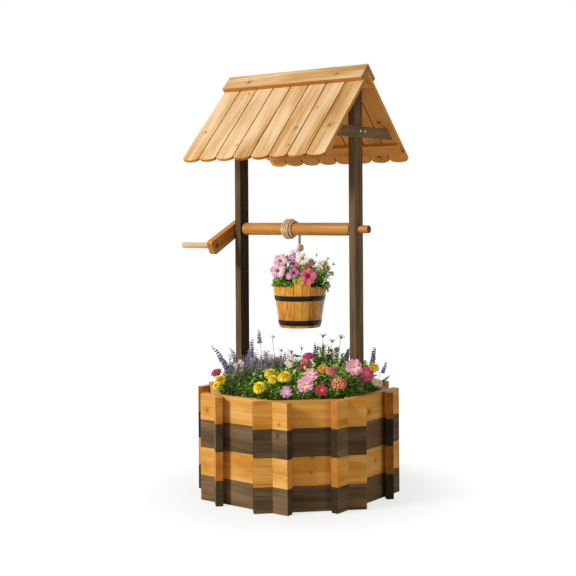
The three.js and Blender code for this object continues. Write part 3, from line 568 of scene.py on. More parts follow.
# Posts, packers, collar ties and floor
for side, postSeed, tieSeed, postTone in (("left", 7, 17, -0.9), ("right", 11, 19, 0.2)):
    post = roundedCopy(side + "_post", "well", "stainedSpruce", 2, upward, (0, 1, 0), postSeed, "paintedShadeStain",
                       tone=postTone)
    # painted shade: the left post's faces towards +x take the darker stain
    for face in post.data.polygons:
        face.material_index = 1 if face.normal.x > 0.5 and side == "left" else 0
    roundedCopy(side + "_post_packer", "well", "honeySpruce", 1, upward, (0, 1, 0), 13)
    roundedCopy(side + "_collar_tie", "well", "stainedSpruce", 1.6, (0, 1, 0), upward, tieSeed, tone=1)
roundedCopy("planter_floor", "well", "honeySpruce", 1, (1, 0, 0), (0, 1, 0), 23)

# Screws in the collar ties: plain pan heads
screwSettings = lengths(radius=3.6, height=1.6, across=14.5, up=1309, edge=0.9)
# zinc plate: bright, with fine scratches
zinc, tree = newMaterial("zinc plated screw")
place = addNode(tree, "TexCoord", output="Object")
scratches = addNode(tree, "TexNoise", {"Vector": place, "Scale": 2200.0, "Detail": 2.0})
dullness = addNode(tree, "MapRange", (scratches, 0, 1, 0.25, 0.5))
surface(tree, {"Base Color": linear("d9cdb8"), "Metallic": 1.0, "Roughness": dullness})
s = screwSettings
for side, sign in (("left", -1), ("right", 1)):
    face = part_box(side + "_collar_tie")[0 if sign < 0 else 1][0]
    for row, across in (("front", -s["across"]), ("back", s["across"])):
        screw = primitive(bpy.ops.mesh.primitive_cylinder_add, vertices=24, radius=s["radius"], depth=s["height"],
                          rotation=(0, math.pi / 2, 0),
                          location=(face + sign * s["height"] * 0.4, across, s["up"]))
        screw.name = f"{side}_{row}_tie_screw"
        settle(screw)
        bevelEdges(screw, s["edge"], 3)
        finish(screw, "hoop_metal", "well", zinc)
print("stage: posts and ties")

# Roof planks: one modelled flat, with its rounded lower end, then copied to each place on the slope
pitch = math.radians(48)
roofSettings = {**lengths(apex=1519.6, thickness=12, length=648, halfSpan=274, scallop=12, gap=4.6, edge=1, past=8,
                          tongue=(6, 3.5, 8), tongueShort=30, tongueFoot=12, tongueEdge=0.5, ridgeMiddle=24),
                "count": 8,
                # the large marks on back_plank_1 and back_plank_2 are dark patches drawn with the knot pattern
                "knots": {"front_plank_1": [(-59, -5, 4.5)], "front_plank_8": [(-61, -3, 5)],
                          "front_plank_6": [(-66, 16, 3.5), (-150, 28, 3)], "front_plank_3": [(-137, 30, 3)],
                          "front_plank_7": [(35, -23, 3)], "front_plank_2": [(140, 12, 3)],
                          "back_plank_1": [(-150, -30, 9), (-14, 9, 8)], "back_plank_2": [(-175, 0, 8)],
                          "back_plank_5": [(60, 10, 5)], "front_ridge_board": [(-202, 3, 5), (204, 4, 4)],
                          "back_ridge_board": [(90, -4, 4)]}}
slopeLength = roofSettings["halfSpan"] / math.cos(pitch)
plankStep = roofSettings["length"] / roofSettings["count"]


def modelPlank():
    s = roofSettings
    width = plankStep - s["gap"]
    length = slopeLength - s["scallop"] + s["past"]
    plank = primitive(bpy.ops.mesh.primitive_grid_add, x_subdivisions=18, y_subdivisions=1, size=1)
    plank.scale = (width, length, 1)
    plank.location = (0, s["past"] - length / 2, -s["thickness"])
    settle(plank)
    lower = min(v.co.y for v in plank.data.vertices)
    for vertex in plank.data.vertices:
        if vertex.co.y < lower + 1e-5:
            part = min(max(vertex.co.x / width + 0.5, 0), 1)
            vertex.co.y -= s["scallop"] * math.sqrt(math.sin(math.pi * part)) if 0 < part < 1 else 0
    editAll()
    bpy.ops.mesh.extrude_region_move(TRANSFORM_OT_translate={"value": (0, 0, s["thickness"])})
    bpy.ops.mesh.select_all(action="SELECT")
    bpy.ops.mesh.normals_make_consistent(inside=False)
    bpy.ops.mesh.dissolve_limited(angle_limit=math.radians(0.5))
    leaveEdit()
    bevelEdges(plank, s["edge"], 2, 35)
    return plank


def modelTongue():
    # the tongue that closes the joint to the next plank
    s = roofSettings
    wide, thick, deep = s["tongue"]
    tongue = primitive(bpy.ops.mesh.primitive_cube_add, size=1)
    length = slopeLength - s["tongueShort"]
    tongue.scale = (wide, length, thick)
    tongue.location = (plankStep / 2, -length / 2 - s["tongueFoot"], -deep - thick / 2)
    settle(tongue)
    bevelEdges(tongue, s["tongueEdge"], 1)
    return tongue


flatPlank, flatTongue = modelPlank(), modelTongue()
for slope, slopeTurn, inward, seed in (("front", 0, 1, 300), ("back", math.pi, -1, 350)):
    tip = Matrix.Rotation(slopeTurn, 4, "Z") @ Matrix.Translation(upward * roofSettings["apex"])
    tip = tip @ Matrix.Rotation(pitch, 4, "X")
    upSlope, sideways = tip.to_3x3() @ Vector((0, 1, 0)), tip.to_3x3() @ Vector((1, 0, 0))
    for number in range(roofSettings["count"]):
        name = f"{slope}_plank_{number + 1}"
        x = (number + 0.5) * plankStep - roofSettings["length"] / 2
        plank = addPiece(name, flatPlank.data.copy())
        plank.data.transform(tip @ Matrix.Translation((x, 0, 0)))
        selectOnly(plank)
        editAll()
        # the slopes meet at the ridge
        bpy.ops.mesh.bisect(plane_co=(0, -0.00015 * inward, 0), plane_no=(0, inward, 0), use_fill=True,
                            clear_outer=True)
        leaveEdit()
        finish(plank, "roof_timber", "well", timber["paleSpruce"], timber["paintedBounceSpruce"], timber["honeyEndGrain"],
               node=slope + "_roof_planks")
        # the upper faces keep the pale top; the under side and the sides in the joints take the more orange copy as
        # painted bounce light, and the ends take end grain
        for face in plank.data.polygons:
            face.material_index = 2 if face.normal.dot(upSlope) < -0.3 else (1 if face.normal.z < 0.2 else 0)
        # the front planks are paler towards the left; the back planks are set lighter as painted light on their under
        # sides
        plankLightness = (0.8 - 0.15 * number if slope == "front" else 0.7) + random.Random(number).uniform(-0.4, 0.4)
        markGrain(plank, upSlope, sideways, seed + number, knots=roofSettings["knots"].get(name, ()), tone=plankLightness,
                  centre=tip @ Vector((x, -slopeLength / 2, 0)))
        if number < roofSettings["count"] - 1:
            tongue = addPiece(f"{slope}_tongue_{number + 1}", flatTongue.data.copy())
            tongue.data.transform(tip @ Matrix.Translation((x, 0, 0)))
            # the tongues take the dark end-grain colour and the darkest tone: painted shade down in the joints
            finish(tongue, "roof_timber", "well", timber["pineEndGrain"])
            markGrain(tongue, upSlope, sideways, 340 + number, tone=-1)
for piece in (flatPlank, flatTongue):
    bpy.data.objects.remove(piece)
for number, (node, lean) in enumerate((
        ("front_ridge_board", pitch), ("back_ridge_board", -pitch), ("front_eave_batten", pitch),
        ("back_eave_batten", -pitch), ("ridge_beam", 0))):
    ridge = {}
    if "ridge_board" in node:
        down = roofSettings["ridgeMiddle"]
        # the ridge boards' lower faces take the darker turned-pine colour as painted shade under their edges
        ridge = {"tone": -0.4, "paintedShadeMaterial": "turnedPine", "centre": Vector((
            0, -down * math.cos(pitch) * (1 if lean > 0 else -1), roofSettings["apex"] - down * math.sin(pitch)))}
    # the battens and the ridge beam take the more orange copy as painted bounce light
    roundedCopy(node, "well", "paleSpruce" if ridge else "paintedBounceSpruce", 1.8, (1, 0, 0),
                (0, math.cos(lean), math.sin(lean)), 400 + number, knots=roofSettings["knots"].get(node, ()), **ridge)
print("stage: roof")


# Windlass
def spinProfile(name, profile, steps, place, axis):
    # (radius, along) pairs drawn out as a line, then spun about the axis
    axis, place = Vector(axis), Vector(place)
    outward = axis.orthogonal().normalized()
    points = [place + outward * radius + axis * along for radius, along in profile]
    piece = primitive(bpy.ops.mesh.primitive_plane_add, size=0.01, location=points[0])
    piece.name = name
    settle(piece)
    editAll()
    bpy.ops.mesh.select_mode(type="VERT")
    bpy.ops.mesh.select_all(action="SELECT")
    bpy.ops.mesh.merge(type="CENTER")
    for last, point in zip(points, points[1:]):
        bpy.ops.mesh.extrude_region_move(TRANSFORM_OT_translate={"value": point - last})
    bpy.ops.mesh.select_all(action="SELECT")
    bpy.ops.mesh.spin(steps=steps, angle=fullTurn, center=place, axis=axis)
    bpy.ops.mesh.select_all(action="SELECT")
    bpy.ops.mesh.remove_doubles(threshold=0.00001)
    bpy.ops.mesh.normals_make_consistent(inside=False)
    leaveEdit()
    bpy.ops.object.shade_smooth_by_angle(angle=math.radians(32))
    return piece


def barProfile(stations, ease):
    # a turned bar from (radius, along) stations with its ends eased
    (r0, a0), (r1, a1) = stations[0], stations[-1]
    start = [(0, a0), (r0 - ease, a0), (r0 - ease * 0.3, a0 + ease * 0.3), (r0, a0 + ease)]
    end = [(r1, a1 - ease), (r1 - ease * 0.3, a1 - ease * 0.3), (r1 - ease, a1), (0, a1)]
    return start + list(stations[1:-1]) + end


windlassSettings = {"armSlope": math.radians(26.9), "shoulder": ((5, 0), (1.5, 1.6), (0, 6)), **lengths(
    roller=23.3, journal=14, half=247, left=-309.5, right=320.4, handleRadius=11, handleReach=135.6, armInner=-284.6,
    handleEnd=-455.5, rollerEase=1.6, handleEase=0.7)}
s = windlassSettings
armAlong = Vector((0, -math.cos(s["armSlope"]), -math.sin(s["armSlope"])))
shoulder = [(s["roller"] - low * mm, s["half"] - back * mm) for low, back in s["shoulder"]]
rollerProfile = barProfile([(s["journal"], s["left"]), (s["journal"], -s["half"])] + [(r, -a) for r, a in shoulder]
                           + shoulder[::-1] + [(s["journal"], s["half"]), (s["journal"], s["right"])], s["rollerEase"])
handleProfile = barProfile([(s["handleRadius"], s["handleEnd"]), (s["handleRadius"], s["armInner"])], s["handleEase"])
for name, profile, steps, place, node, finishName, seed in (
        ("roller_turned", rollerProfile, 64, axisPoint, "roller", "turnedPine", 31),
        ("handle_turned", handleProfile, 48, axisPoint + armAlong * s["handleReach"], "crank_handle", "barePine", 37)):
    piece = spinProfile(name, profile, steps, place, (1, 0, 0))
    finish(piece, "turned_timber", "windlass", timber[finishName], timber["pineEndGrain"], node=node)
    for face in piece.data.polygons:
        face.material_index = 1 if abs(face.normal.x) > 0.95 else 0
    markGrain(piece, (1, 0, 0), (0, 1, 0), seed, heart=(0.012, 0.03), centre=axisPoint, tilt=(0.02, 0.06))
# the arm's top faces keep the honey colour and its other faces take the darker turned-pine colour: painted highlight on
# top, painted shade on the sides
roundedCopy("crank_arm", "windlass", "honeySpruce", 2.6, armAlong, armAlong.cross((1, 0, 0)), 41,
            paintedShadeMaterial="turnedPine")
print("stage: windlass")

# Bucket: staves, bottom and hoops
bucketSettings = {"count": 20, **lengths(
    base=599, rim=750.5, rimRadius=100, baseRadius=76, thickness=9, ear=27, gap=0.6, edge=0.9, holeRadius=4.6,
    hoopGap=0.3, hoop=1.7, hoopHeight=18.5, hoopEdge=0.6, hoopCrown=0.3, upperHoop=699.3, lowerHoop=609.3)}
halfStave = math.pi / bucketSettings["count"]


def bucketRadius(z):
    s = bucketSettings
    return s["baseRadius"] + (s["rimRadius"] - s["baseRadius"]) * (z - s["base"]) / (s["rim"] - s["base"])


def modelStave(isEar):
    # cut from a cone, thickened inwards, its edges eased; it stands at the turn of 0
    s = bucketSettings
    top = s["rim"] + (s["ear"] if isEar else 0)
    stave = primitive(bpy.ops.mesh.primitive_cone_add, vertices=5 * s["count"], radius1=bucketRadius(s["base"]),
                      radius2=bucketRadius(top), depth=top - s["base"], end_fill_type="NOTHING",
                      location=(0, 0, (top + s["base"]) / 2), rotation=(0, 0, math.pi / s["count"] / 5))
    settle(stave)
    editAll()
    bpy.ops.mesh.select_all(action="DESELECT")
    leaveEdit()
    for vertex in stave.data.vertices:
        vertex.select = abs(math.atan2(vertex.co.x, -vertex.co.y)) > halfStave + 0.01
    bpy.ops.object.mode_set(mode="EDIT")
    bpy.ops.mesh.select_mode(type="VERT")
    bpy.ops.mesh.delete(type="VERT")
    bpy.ops.mesh.select_all(action="SELECT")
    bpy.ops.transform.resize(value=(1 - s["gap"] / (halfStave * s["rimRadius"]), 1, 1), center_override=(0, 0, 0))
    leaveEdit()
    wall = stave.modifiers.new("stave thickness", "SOLIDIFY")
    wall.thickness, wall.offset = s["thickness"], -1
    bevelEdges(stave, s["edge"], 2, 40)
    return stave


plainStave, earStave = modelStave(False), modelStave(True)
for number in range(bucketSettings["count"]):
    turn = ear["turn"] + halfStave + number * 2 * halfStave
    isEar = number in (0, 19, 9, 10)
    stave = addPiece(f"bucket_stave_{number + 1}", (earStave if isEar else plainStave).data.copy())
    stave.data.transform(Matrix.Translation(fallLine) @ Matrix.Rotation(turn + math.pi / 2, 4, "Z"))
    if isEar:
        drill = primitive(bpy.ops.mesh.primitive_cylinder_add, vertices=32, radius=bucketSettings["holeRadius"],
                          depth=0.3, location=(*fallLine.xy, ear["height"]), rotation=(0, math.pi / 2, ear["turn"]))
        bore = stave.modifiers.new("rope hole", "BOOLEAN")
        bore.operation, bore.object = "DIFFERENCE", drill
        applyModifiers(stave)
        bpy.data.objects.remove(drill)
    selectOnly(stave)
    bpy.ops.object.shade_smooth_by_angle(angle=math.radians(25))
    finish(stave, "bucket_timber", "bucket", timber["varnishedStave"], node="bucket_staves")
    markGrain(stave, upward, (-math.sin(turn), math.cos(turn), 0), 500 + number, tilt=(0.003, 0.008),
              tone=random.Random(number).uniform(-1, 1))
for piece in (plainStave, earStave):
    bpy.data.objects.remove(piece)
roundedCopy("bucket_bottom", "bucket", "varnishedStave", 0.8, (1, 0, 0), (0, 1, 0), 530)

# black enamelled steel: smooth and glossy, with faint waviness from rolling
enamel, tree = newMaterial("black enamelled steel")
place = addNode(tree, "TexCoord", output="Object")
waves = addNode(tree, "TexNoise", {"Vector": place, "Scale": 55.0, "Detail": 2.0})
dullness = addNode(tree, "MapRange", (waves, 0, 1, 0.08, 0.16))
surface(tree, {"Base Color": linear("0d0c0c"), "Specular IOR Level": 0.17, "Roughness": dullness}, waves, 0.25, 0.002)
s = bucketSettings
for hoopName in ("upper", "lower"):
    low, edge, height = s[hoopName + "Hoop"], s["hoopEdge"], s["hoopHeight"]
    inner0, inner1 = (bucketRadius(z) + s["hoopGap"] for z in (low, low + height))
    hoop = s["hoop"]
    crown = [(inner0, 0), (inner0 + hoop * 0.7, 0), (inner0 + hoop, edge),
             ((inner0 + inner1) / 2 + hoop + s["hoopCrown"], height / 2), (inner1 + hoop, height - edge),
             (inner1 + hoop * 0.7, height), (inner1, height), (inner0, 0)]
    finish(spinProfile(f"bucket_{hoopName}_hoop_band", crown, 96, (*fallLine.xy, low), (0, 0, 1)), "hoop_metal",
           "bucket", enamel, node=f"bucket_{hoopName}_hoop")
print("stage: bucket")

# Soil: dark peat with crumbs of about 4 mm
peat, tree = newMaterial("moist peat")
place = addNode(tree, "TexCoord", output="Object")
lumps = addNode(tree, "TexNoise", {"Vector": place, "Scale": 45.0, "Detail": 4.0})
crumbs = addNode(tree, "TexVoronoi", {"Vector": place, "Scale": 240.0}, "Distance")
brown = addNode(tree, "ValToRGB", {"Fac": lumps}, stops=((0.35, linear("1a120c")), (0.7, linear("3c2c1e"))))
relief = addNode(tree, "Math", (crumbs, lumps), operation="SUBTRACT")
surface(tree, {"Base Color": brown, "Roughness": 0.95}, relief, 0.9, 0.004)
setMaterial(frame["nodes"]["planter_soil"], peat)

bucketSoilSettings = lengths(top=741.5, foot=618, wall=10, lump=1.6, dome=3)
s = bucketSoilSettings
footRadius, topRadius = (bucketRadius(s[key]) - s["wall"] for key in ("foot", "top"))
soilProfile = [(0, s["foot"]), (footRadius, s["foot"])] + [
    (topRadius * share, s["top"] + s["dome"] * (1 - share)) for share in (1, 0.8, 0.6, 0.4, 0.2, 0)]
bucketSoil = spinProfile("bucket_soil", soilProfile, 40, fallLine, (0, 0, 1))
dice = random.Random(3)
for vertex in bucketSoil.data.vertices:
    if vertex.co.z > s["top"] - 1e-5:
        vertex.co.z += dice.uniform(-s["lump"], s["lump"])
finish(bucketSoil, "soil", "bucket", peat)


# Plants. Each leaf, petal and head is modelled once, and the plants are set out from copies of them. Sizes are in mm.
# bladePlace runs from 0 at a blade's root to 1 at its tip, then from edge to edge; dice tells one blade from the next.
def takeShape(piece, place, slot=0):
    mesh = piece.data
    shape = {"verts": np.array([tuple(v.co) for v in mesh.vertices]),
             "faces": [tuple(p.vertices) for p in mesh.polygons],
             "place": np.array(place, dtype=float), "dice": np.zeros(len(mesh.vertices)),
             "slots": [slot] * len(mesh.polygons)}
    bpy.data.objects.remove(piece)
    return shape


def modelBlade(length, width, widths, fold=0.1, curl=0.0, notch=0.0, across=2, ripple=0.0):
    length, width = length * mm, width * mm
    blade = primitive(bpy.ops.mesh.primitive_grid_add, x_subdivisions=across, y_subdivisions=len(widths) - 1, size=1)
    place = []
    for vertex in blade.data.vertices:
        side, along = vertex.co.x * 2, vertex.co.y + 0.5
        wide = widths[round(along * (len(widths) - 1))]
        rise = fold * width * abs(side) * wide + curl * length * along ** 2
        rise += ripple * width * math.sin(side * 4.2 + 1.3) * along
        cut = notch * (1 - abs(side)) if along > 0.99 else 0
        vertex.co = (side * width / 2 * wide, length * (along - cut), rise)
        place.append((along, side * wide, 0))
    return takeShape(blade, place)


def modelDome(radius, height, slot=1):
    # a closed flower heart: a ball with its under side pushed flat
    radius, height = radius * mm, height * mm
    dome = primitive(bpy.ops.mesh.primitive_uv_sphere_add, segments=12, ring_count=8, radius=radius)
    place = []
    for vertex in dome.data.vertices:
        away = math.hypot(vertex.co.x, vertex.co.y) / radius
        vertex.co.z = vertex.co.z / radius * (height if vertex.co.z > 0 else height * 0.25)
        place.append((away, vertex.co.x / radius, vertex.co.y / radius))
    return takeShape(dome, place, slot)


def modelCone(sides, low, high, start, end, slot, fill="NGON"):
    # a calyx or a stem
    cone = primitive(bpy.ops.mesh.primitive_cone_add, vertices=sides, radius1=low * mm, radius2=high * mm,
                     depth=(end - start) * mm, end_fill_type=fill, location=(0, 0, (start + end) / 2 * mm))
    settle(cone)
    return takeShape(cone, [(0.5, v.co.x / mm / max(low, high), 0) for v in cone.data.vertices], slot)


def modelCalyx(radius, depth, slot=2):
    return modelCone(8, radius * 0.25, radius, -depth, 0, slot)


def compose(parts):
    verts, faces, place, dice, slots, count = [], [], [], [], [], 0
    for shape, matrix, roll in parts:
        turn = np.array(matrix)
        verts.append(shape["verts"] @ turn[:3, :3].T + turn[:3, 3])
        faces += [tuple(i + count for i in face) for face in shape["faces"]]
        place.append(shape["place"])
        dice.append((shape["dice"] + roll) % 1)
        slots += shape["slots"]
        count += len(shape["verts"])
    return {"verts": np.concatenate(verts), "faces": faces, "place": np.concatenate(place),
            "dice": np.concatenate(dice), "slots": slots}


def spread(azimuth, tilt, reach=0.0, up=0.0, size=1.0):
    # a blade that starts at reach from the middle and leans up by tilt
    return (Matrix.Rotation(azimuth, 4, "Z") @ Matrix.Translation((0, reach * mm, up * mm))
            @ Matrix.Rotation(math.radians(tilt), 4, "X") @ Matrix.Scale(size, 4))


def aimed(place, facing, turn=0.0, size=1.0, stretch=(1, 1, 1)):
    facing = Vector(facing).normalized()
    return (Matrix.Translation(place) @ facing.to_track_quat("Z", "Y").to_matrix().to_4x4()
            @ Matrix.Rotation(turn, 4, "Z") @ Matrix.Diagonal((*(size * share for share in stretch), 1)))


def growPiece(name, parts, materials, body):
    shape = compose(parts)
    mesh = bpy.data.meshes.new(name)
    mesh.from_pydata(shape["verts"].tolist(), [], shape["faces"])
    mesh.polygons.foreach_set("material_index", shape["slots"])
    mesh.polygons.foreach_set("use_smooth", [True] * len(shape["faces"]))
    piece = addPiece(name, mesh)
    for material in materials:
        mesh.materials.append(plant[material])
    writeAttribute(piece, "bladePlace", "FLOAT_VECTOR", "vector", shape["place"].ravel())
    writeAttribute(piece, "dice", "FLOAT", "value", shape["dice"])
    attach(piece, body)
    return piece


plantDice = random.Random(11)
still = Matrix.Identity(4)


def ring(petal, count, reach, up, tilt, size=1.0, jitter=0.08, start=0.0):
    step = fullTurn / count
    return [(petal, spread(start + i * step + plantDice.uniform(-jitter, jitter) * step,
                           tilt + plantDice.uniform(-6, 6), reach, up, size * plantDice.uniform(0.93, 1.05)),
             plantDice.random()) for i in range(count)]


def modelHead(petal, rings, dome, calyx, domeRoll=0):
    parts = []
    for row in rings:
        parts += ring(petal, *row)
    return compose(parts + [(modelDome(*dome), still, domeRoll), (modelCalyx(*calyx), still, 0)])


def modelDaisy(lean, heart, wide, count, calyx):
    petal = modelBlade(15.5, wide, [0.4, 0.85, 1, 0.95, 0.5], fold=-0.08, curl=-0.06)
    return modelHead(petal, ((count, 4.5, 0, lean), (count // 2 - 1, 4, 0.8, lean + 8, 0.9, 0.3)), (6, heart), calyx)


def modelMarigold():
    petal = modelBlade(17, 6, [0.4, 0.85, 1, 0.8], fold=0.14, curl=-0.06, notch=0.16, ripple=0.1)
    rings = [(17, 6.4, 0, -22, 1.06), (17, 5.8, 2.2, -4, 1.02), (16, 5, 4.2, 12, 0.92), (14, 4, 6, 28, 0.8),
             (11, 2.8, 7.4, 44, 0.64), (8, 1.4, 8.4, 62, 0.5), (5, 0.4, 9, 80, 0.4)]
    return modelHead(petal, [(*row, 0.25, i * 0.3) for i, row in enumerate(rings)], (6, 9, 0), (7, 9), 0.5)


def modelBroadDaisy():
    petal = modelBlade(20, 13, [0.3, 0.72, 1, 0.97, 0.62], fold=0.06, curl=-0.05, notch=0.07, across=4, ripple=0.06)
    return modelHead(petal, ((8, 4, 0, 6, 1, 0.1), (6, 3.2, 1.4, 22, 0.78, 0.15, 0.4)), (4.4, 3), (5, 7))


def modelZinnia():
    petal = modelBlade(15, 7, [0.35, 0.8, 1, 0.9, 0.45], fold=0.1, curl=-0.04)
    return modelHead(petal, ((12, 4.6, 0, 0, 1, 0.15), (11, 4, 1.4, 16, 0.85, 0.2, 0.25),
                             (8, 3, 2.8, 38, 0.62, 0.2, 0.5)), (4, 3.4), (5, 7))


def modelCluster():
    # a domed head of small five-lobed florets
    star = primitive(bpy.ops.mesh.primitive_circle_add, vertices=10, radius=1, fill_type="TRIFAN")
    place = []
    for vertex in star.data.vertices:
        middle = math.hypot(vertex.co.x, vertex.co.y) < 0.1
        spoke = round(math.degrees(math.atan2(vertex.co.y, vertex.co.x)) / 36) % 2
        reach = (0 if middle else (6.8 if spoke else 3.4)) * mm
        place.append((0 if middle else 1, 0, 0))
        vertex.co = (vertex.co.x * reach, vertex.co.y * reach, (-1.8 if middle else (0 if spoke else 0.7)) * mm)
    floret = takeShape(star, place)
    parts, count = [], 34
    for i in range(count):
        lean, azimuth = math.acos(1 - (i + 0.4) / count * 0.86), i * goldenTurn
        facing = Vector((math.sin(lean) * math.cos(azimuth), math.sin(lean) * math.sin(azimuth), math.cos(lean)))
        parts.append((floret, aimed(Vector((facing.x * 24, facing.y * 24, facing.z * 13)) * mm, facing + upward * 0.35,
                                    plantDice.uniform(0, 6), plantDice.uniform(0.85, 1.15)), i / count))
    return compose(parts + [(modelDome(20, 10, 2), still, 0), (modelCalyx(10, 10), still, 0)])


def modelPetunia():
    # a trumpet: rings are drawn out from the throat, then waved into five lobes
    previous, radius = 0.07, 27 * mm
    trumpet = primitive(bpy.ops.mesh.primitive_circle_add, vertices=40, radius=previous, fill_type="NGON")
    editAll()
    bpy.ops.mesh.select_mode(type="EDGE")
    bpy.ops.mesh.select_all(action="SELECT")
    bpy.ops.mesh.delete(type="ONLY_FACE")
    bpy.ops.mesh.select_all(action="SELECT")
    for reach in (0.12, 0.2, 0.34, 0.52, 0.72, 0.88, 1.0):
        bpy.ops.mesh.extrude_region_move()
        bpy.ops.transform.resize(value=(reach / previous, reach / previous, 1), center_override=(0, 0, 0))
        previous = reach
    leaveEdit()
    place = []
    for vertex in trumpet.data.vertices:
        away, angle = math.hypot(vertex.co.x, vertex.co.y), math.atan2(vertex.co.y, vertex.co.x)
        cut = 1 - 0.2 * max(0.0, away - 0.3) / 0.7 * (1 - abs(math.cos(2.5 * angle)) ** 0.45)
        depth = -0.62 * max(0.0, 1 - away / 0.42) ** 1.4 + 0.1 * away * math.cos(5 * angle)
        depth += 0.05 * away ** 2 * math.sin(12 * angle) - 0.12 * max(0.0, away - 0.75)
        place.append((away, math.cos(angle), math.sin(angle)))
        vertex.co = (vertex.co.x * cut * radius, vertex.co.y * cut * radius, depth * radius)
    petals = takeShape(trumpet, place)
    return compose([(petals, still, 0), (modelCalyx(6.5, 17), Matrix.Translation(upward * -9 * mm), 0),
                    (modelDome(2.2, 3), Matrix.Translation(upward * -10 * mm), 0)])


def modelSpike(whorls, around):
    # whorls of small buds up a square stem
    bud = primitive(bpy.ops.mesh.primitive_ico_sphere_add, subdivisions=1, radius=1)
    place = []
    for vertex in bud.data.vertices:
        along = vertex.co.z / 2 + 0.5
        place.append((along, vertex.co.x, 0))
        vertex.co = (vertex.co.x * 3.1 * mm, (vertex.co.y * 3.1 + along * 1.5) * mm, along * 10.5 * mm)
    bud, parts = takeShape(bud, place), []
    for whorl in range(whorls):
        for i in range(around if whorl < whorls - 2 else 4):
            azimuth = (i + plantDice.uniform(-0.3, 0.3)) * fullTurn / around + whorl * 0.45
            parts.append((bud, spread(azimuth, -plantDice.uniform(45, 82), 1.6, whorl * 94 / whorls,
                                      (1.15 - 0.5 * whorl / whorls) * plantDice.uniform(0.75, 1.15)),
                          plantDice.random()))
    return compose(parts)


def modelSprig(leaf, count, low, step, tiltLow, tiltStep, sizeStep, height, radius):
    parts = [(modelCone(4, radius, radius * 0.5, 0, height, 1, "NOTHING"), still, 0)]
    for i in range(count):
        parts.append((leaf, spread(i * goldenTurn, tiltLow + tiltStep * i, 0.6, low + step * i, 1 - sizeStep * i),
                      plantDice.random()))
    return compose(parts)


broadLeaf = modelBlade(25, 12.5, [0.12, 0.8, 1, 0.72, 0.04], fold=0.14, curl=-0.2)
lobedLeaf = modelBlade(27, 14, [0.12, 0.7, 0.25, 1, 0.3, 0.9, 0.25, 0.55, 0.04], fold=0.16, curl=-0.2)
ovateLeaf = modelBlade(34, 22, [0.1, 0.75, 1, 0.95, 0.62, 0.05], curl=-0.22, ripple=0.04)
lanceLeaf = modelBlade(30, 8.5, [0.2, 0.8, 1, 0.7, 0.05], fold=0.15, curl=-0.15)
narrowLeaf = modelBlade(36, 3.2, [0.5, 1, 0.8, 0.1], fold=0.2, curl=-0.08, across=1)
sprigs = {"broad": modelSprig(broadLeaf, 12, 10, 4.8, 0, 3.4, 0.035, 62, 1.3),
          "lobed": modelSprig(lobedLeaf, 10, 10, 5.6, 4, 5, 0.04, 62, 1.2),
          "narrow": modelSprig(narrowLeaf, 15, 6, 4, 30, 2.6, 0.01, 70, 1.1),
          "ovate": modelSprig(ovateLeaf, 8, 17, 4.4, 14, 6, 0.05, 50, 1.3),
          "leafy": modelSprig(lanceLeaf, 22, 8, 5, 14, 1.8, 0.018, 118, 1.2)}
# each head with its natural width
heads = {"daisy": (modelDaisy(4, 3.6, 5.4, 16, (5, 6)), 40),
         "camomile": (modelDaisy(24, 2.6, 2.6, 12, (5.6, 9, 1)), 34),
         "marigold": (modelMarigold(), 52), "broadDaisy": (modelBroadDaisy(), 48), "zinnia": (modelZinnia(), 40),
         "cluster": (modelCluster(), 58), "petunia": (modelPetunia(), 54)}
spike, wisp = modelSpike(11, 10), modelSpike(7, 4)
print("stage: leaves and heads")


def plantMaterial(name, colors, veins=0.4, values=(0.88, 1.1), innerTo=0.1, middleAt=0.4, scales=(1.2, 5.0),
                  isRound=False, midrib=None, hue=0.0, roughness=0.6, sheen=0.15):
    # petals and leaves: colour from root to tip, fine veins along the blade, one blade lighter than the next
    material, tree = newMaterial(name)
    inner, middle, outer, vein = (linear(c) for c in colors.split())
    blade = addNode(tree, "Attribute", output="Vector", attribute_name="bladePlace")
    dice = addNode(tree, "Attribute", output="Fac", attribute_name="dice")
    alongBlade, acrossBlade = addNode(tree, "SeparateXYZ", (blade,)).node.outputs[:2]
    if isRound:
        veinPlace = addNode(tree, "VectorMath", (blade, (0.8, 9, 9)), operation="MULTIPLY")
    else:
        veinPlace = addNode(tree, "CombineXYZ", [
            addNode(tree, "Math", pair, operation="MULTIPLY")
            for pair in ((alongBlade, scales[0]), (acrossBlade, scales[1]), (dice, 60.0))])
    pattern = addNode(tree, "TexNoise", {"Vector": veinPlace, "Scale": 1.0, "Detail": 2.0})
    uneven = addNode(tree, "MapRange", (pattern, 0, 1, -0.14, 0.14))
    along = addNode(tree, "Math", (alongBlade, uneven), operation="ADD")
    color = addNode(tree, "ValToRGB", {"Fac": along}, stops=((innerTo, inner), (1, outer), (middleAt, middle)))
    layers = [(addNode(tree, "MapRange", (pattern, 0.5, 0.68, 0, veins)), vein)]
    if midrib:
        fromRib = addNode(tree, "Math", (acrossBlade,), operation="ABSOLUTE")
        layers.append((addNode(tree, "MapRange", (fromRib, 0.04, 0.16, 0.55, 0)), linear(midrib)))
    for share, over in layers:
        color = addNode(tree, "Mix", {0: share, 6: color, 7: over}, 2, data_type="RGBA")
    value, turned = (addNode(tree, "MapRange", (dice, 0, 1, *span)) for span in (values, (0.5 - hue, 0.5 + hue)))
    toned = addNode(tree, "HueSaturation", {"Value": value, "Hue": turned, "Color": color})
    surface(tree, {"Base Color": toned, "Roughness": roughness, "Sheen Weight": sheen, "Specular IOR Level": 0.25},
            pattern, 0.35, 0.0006)
    return material


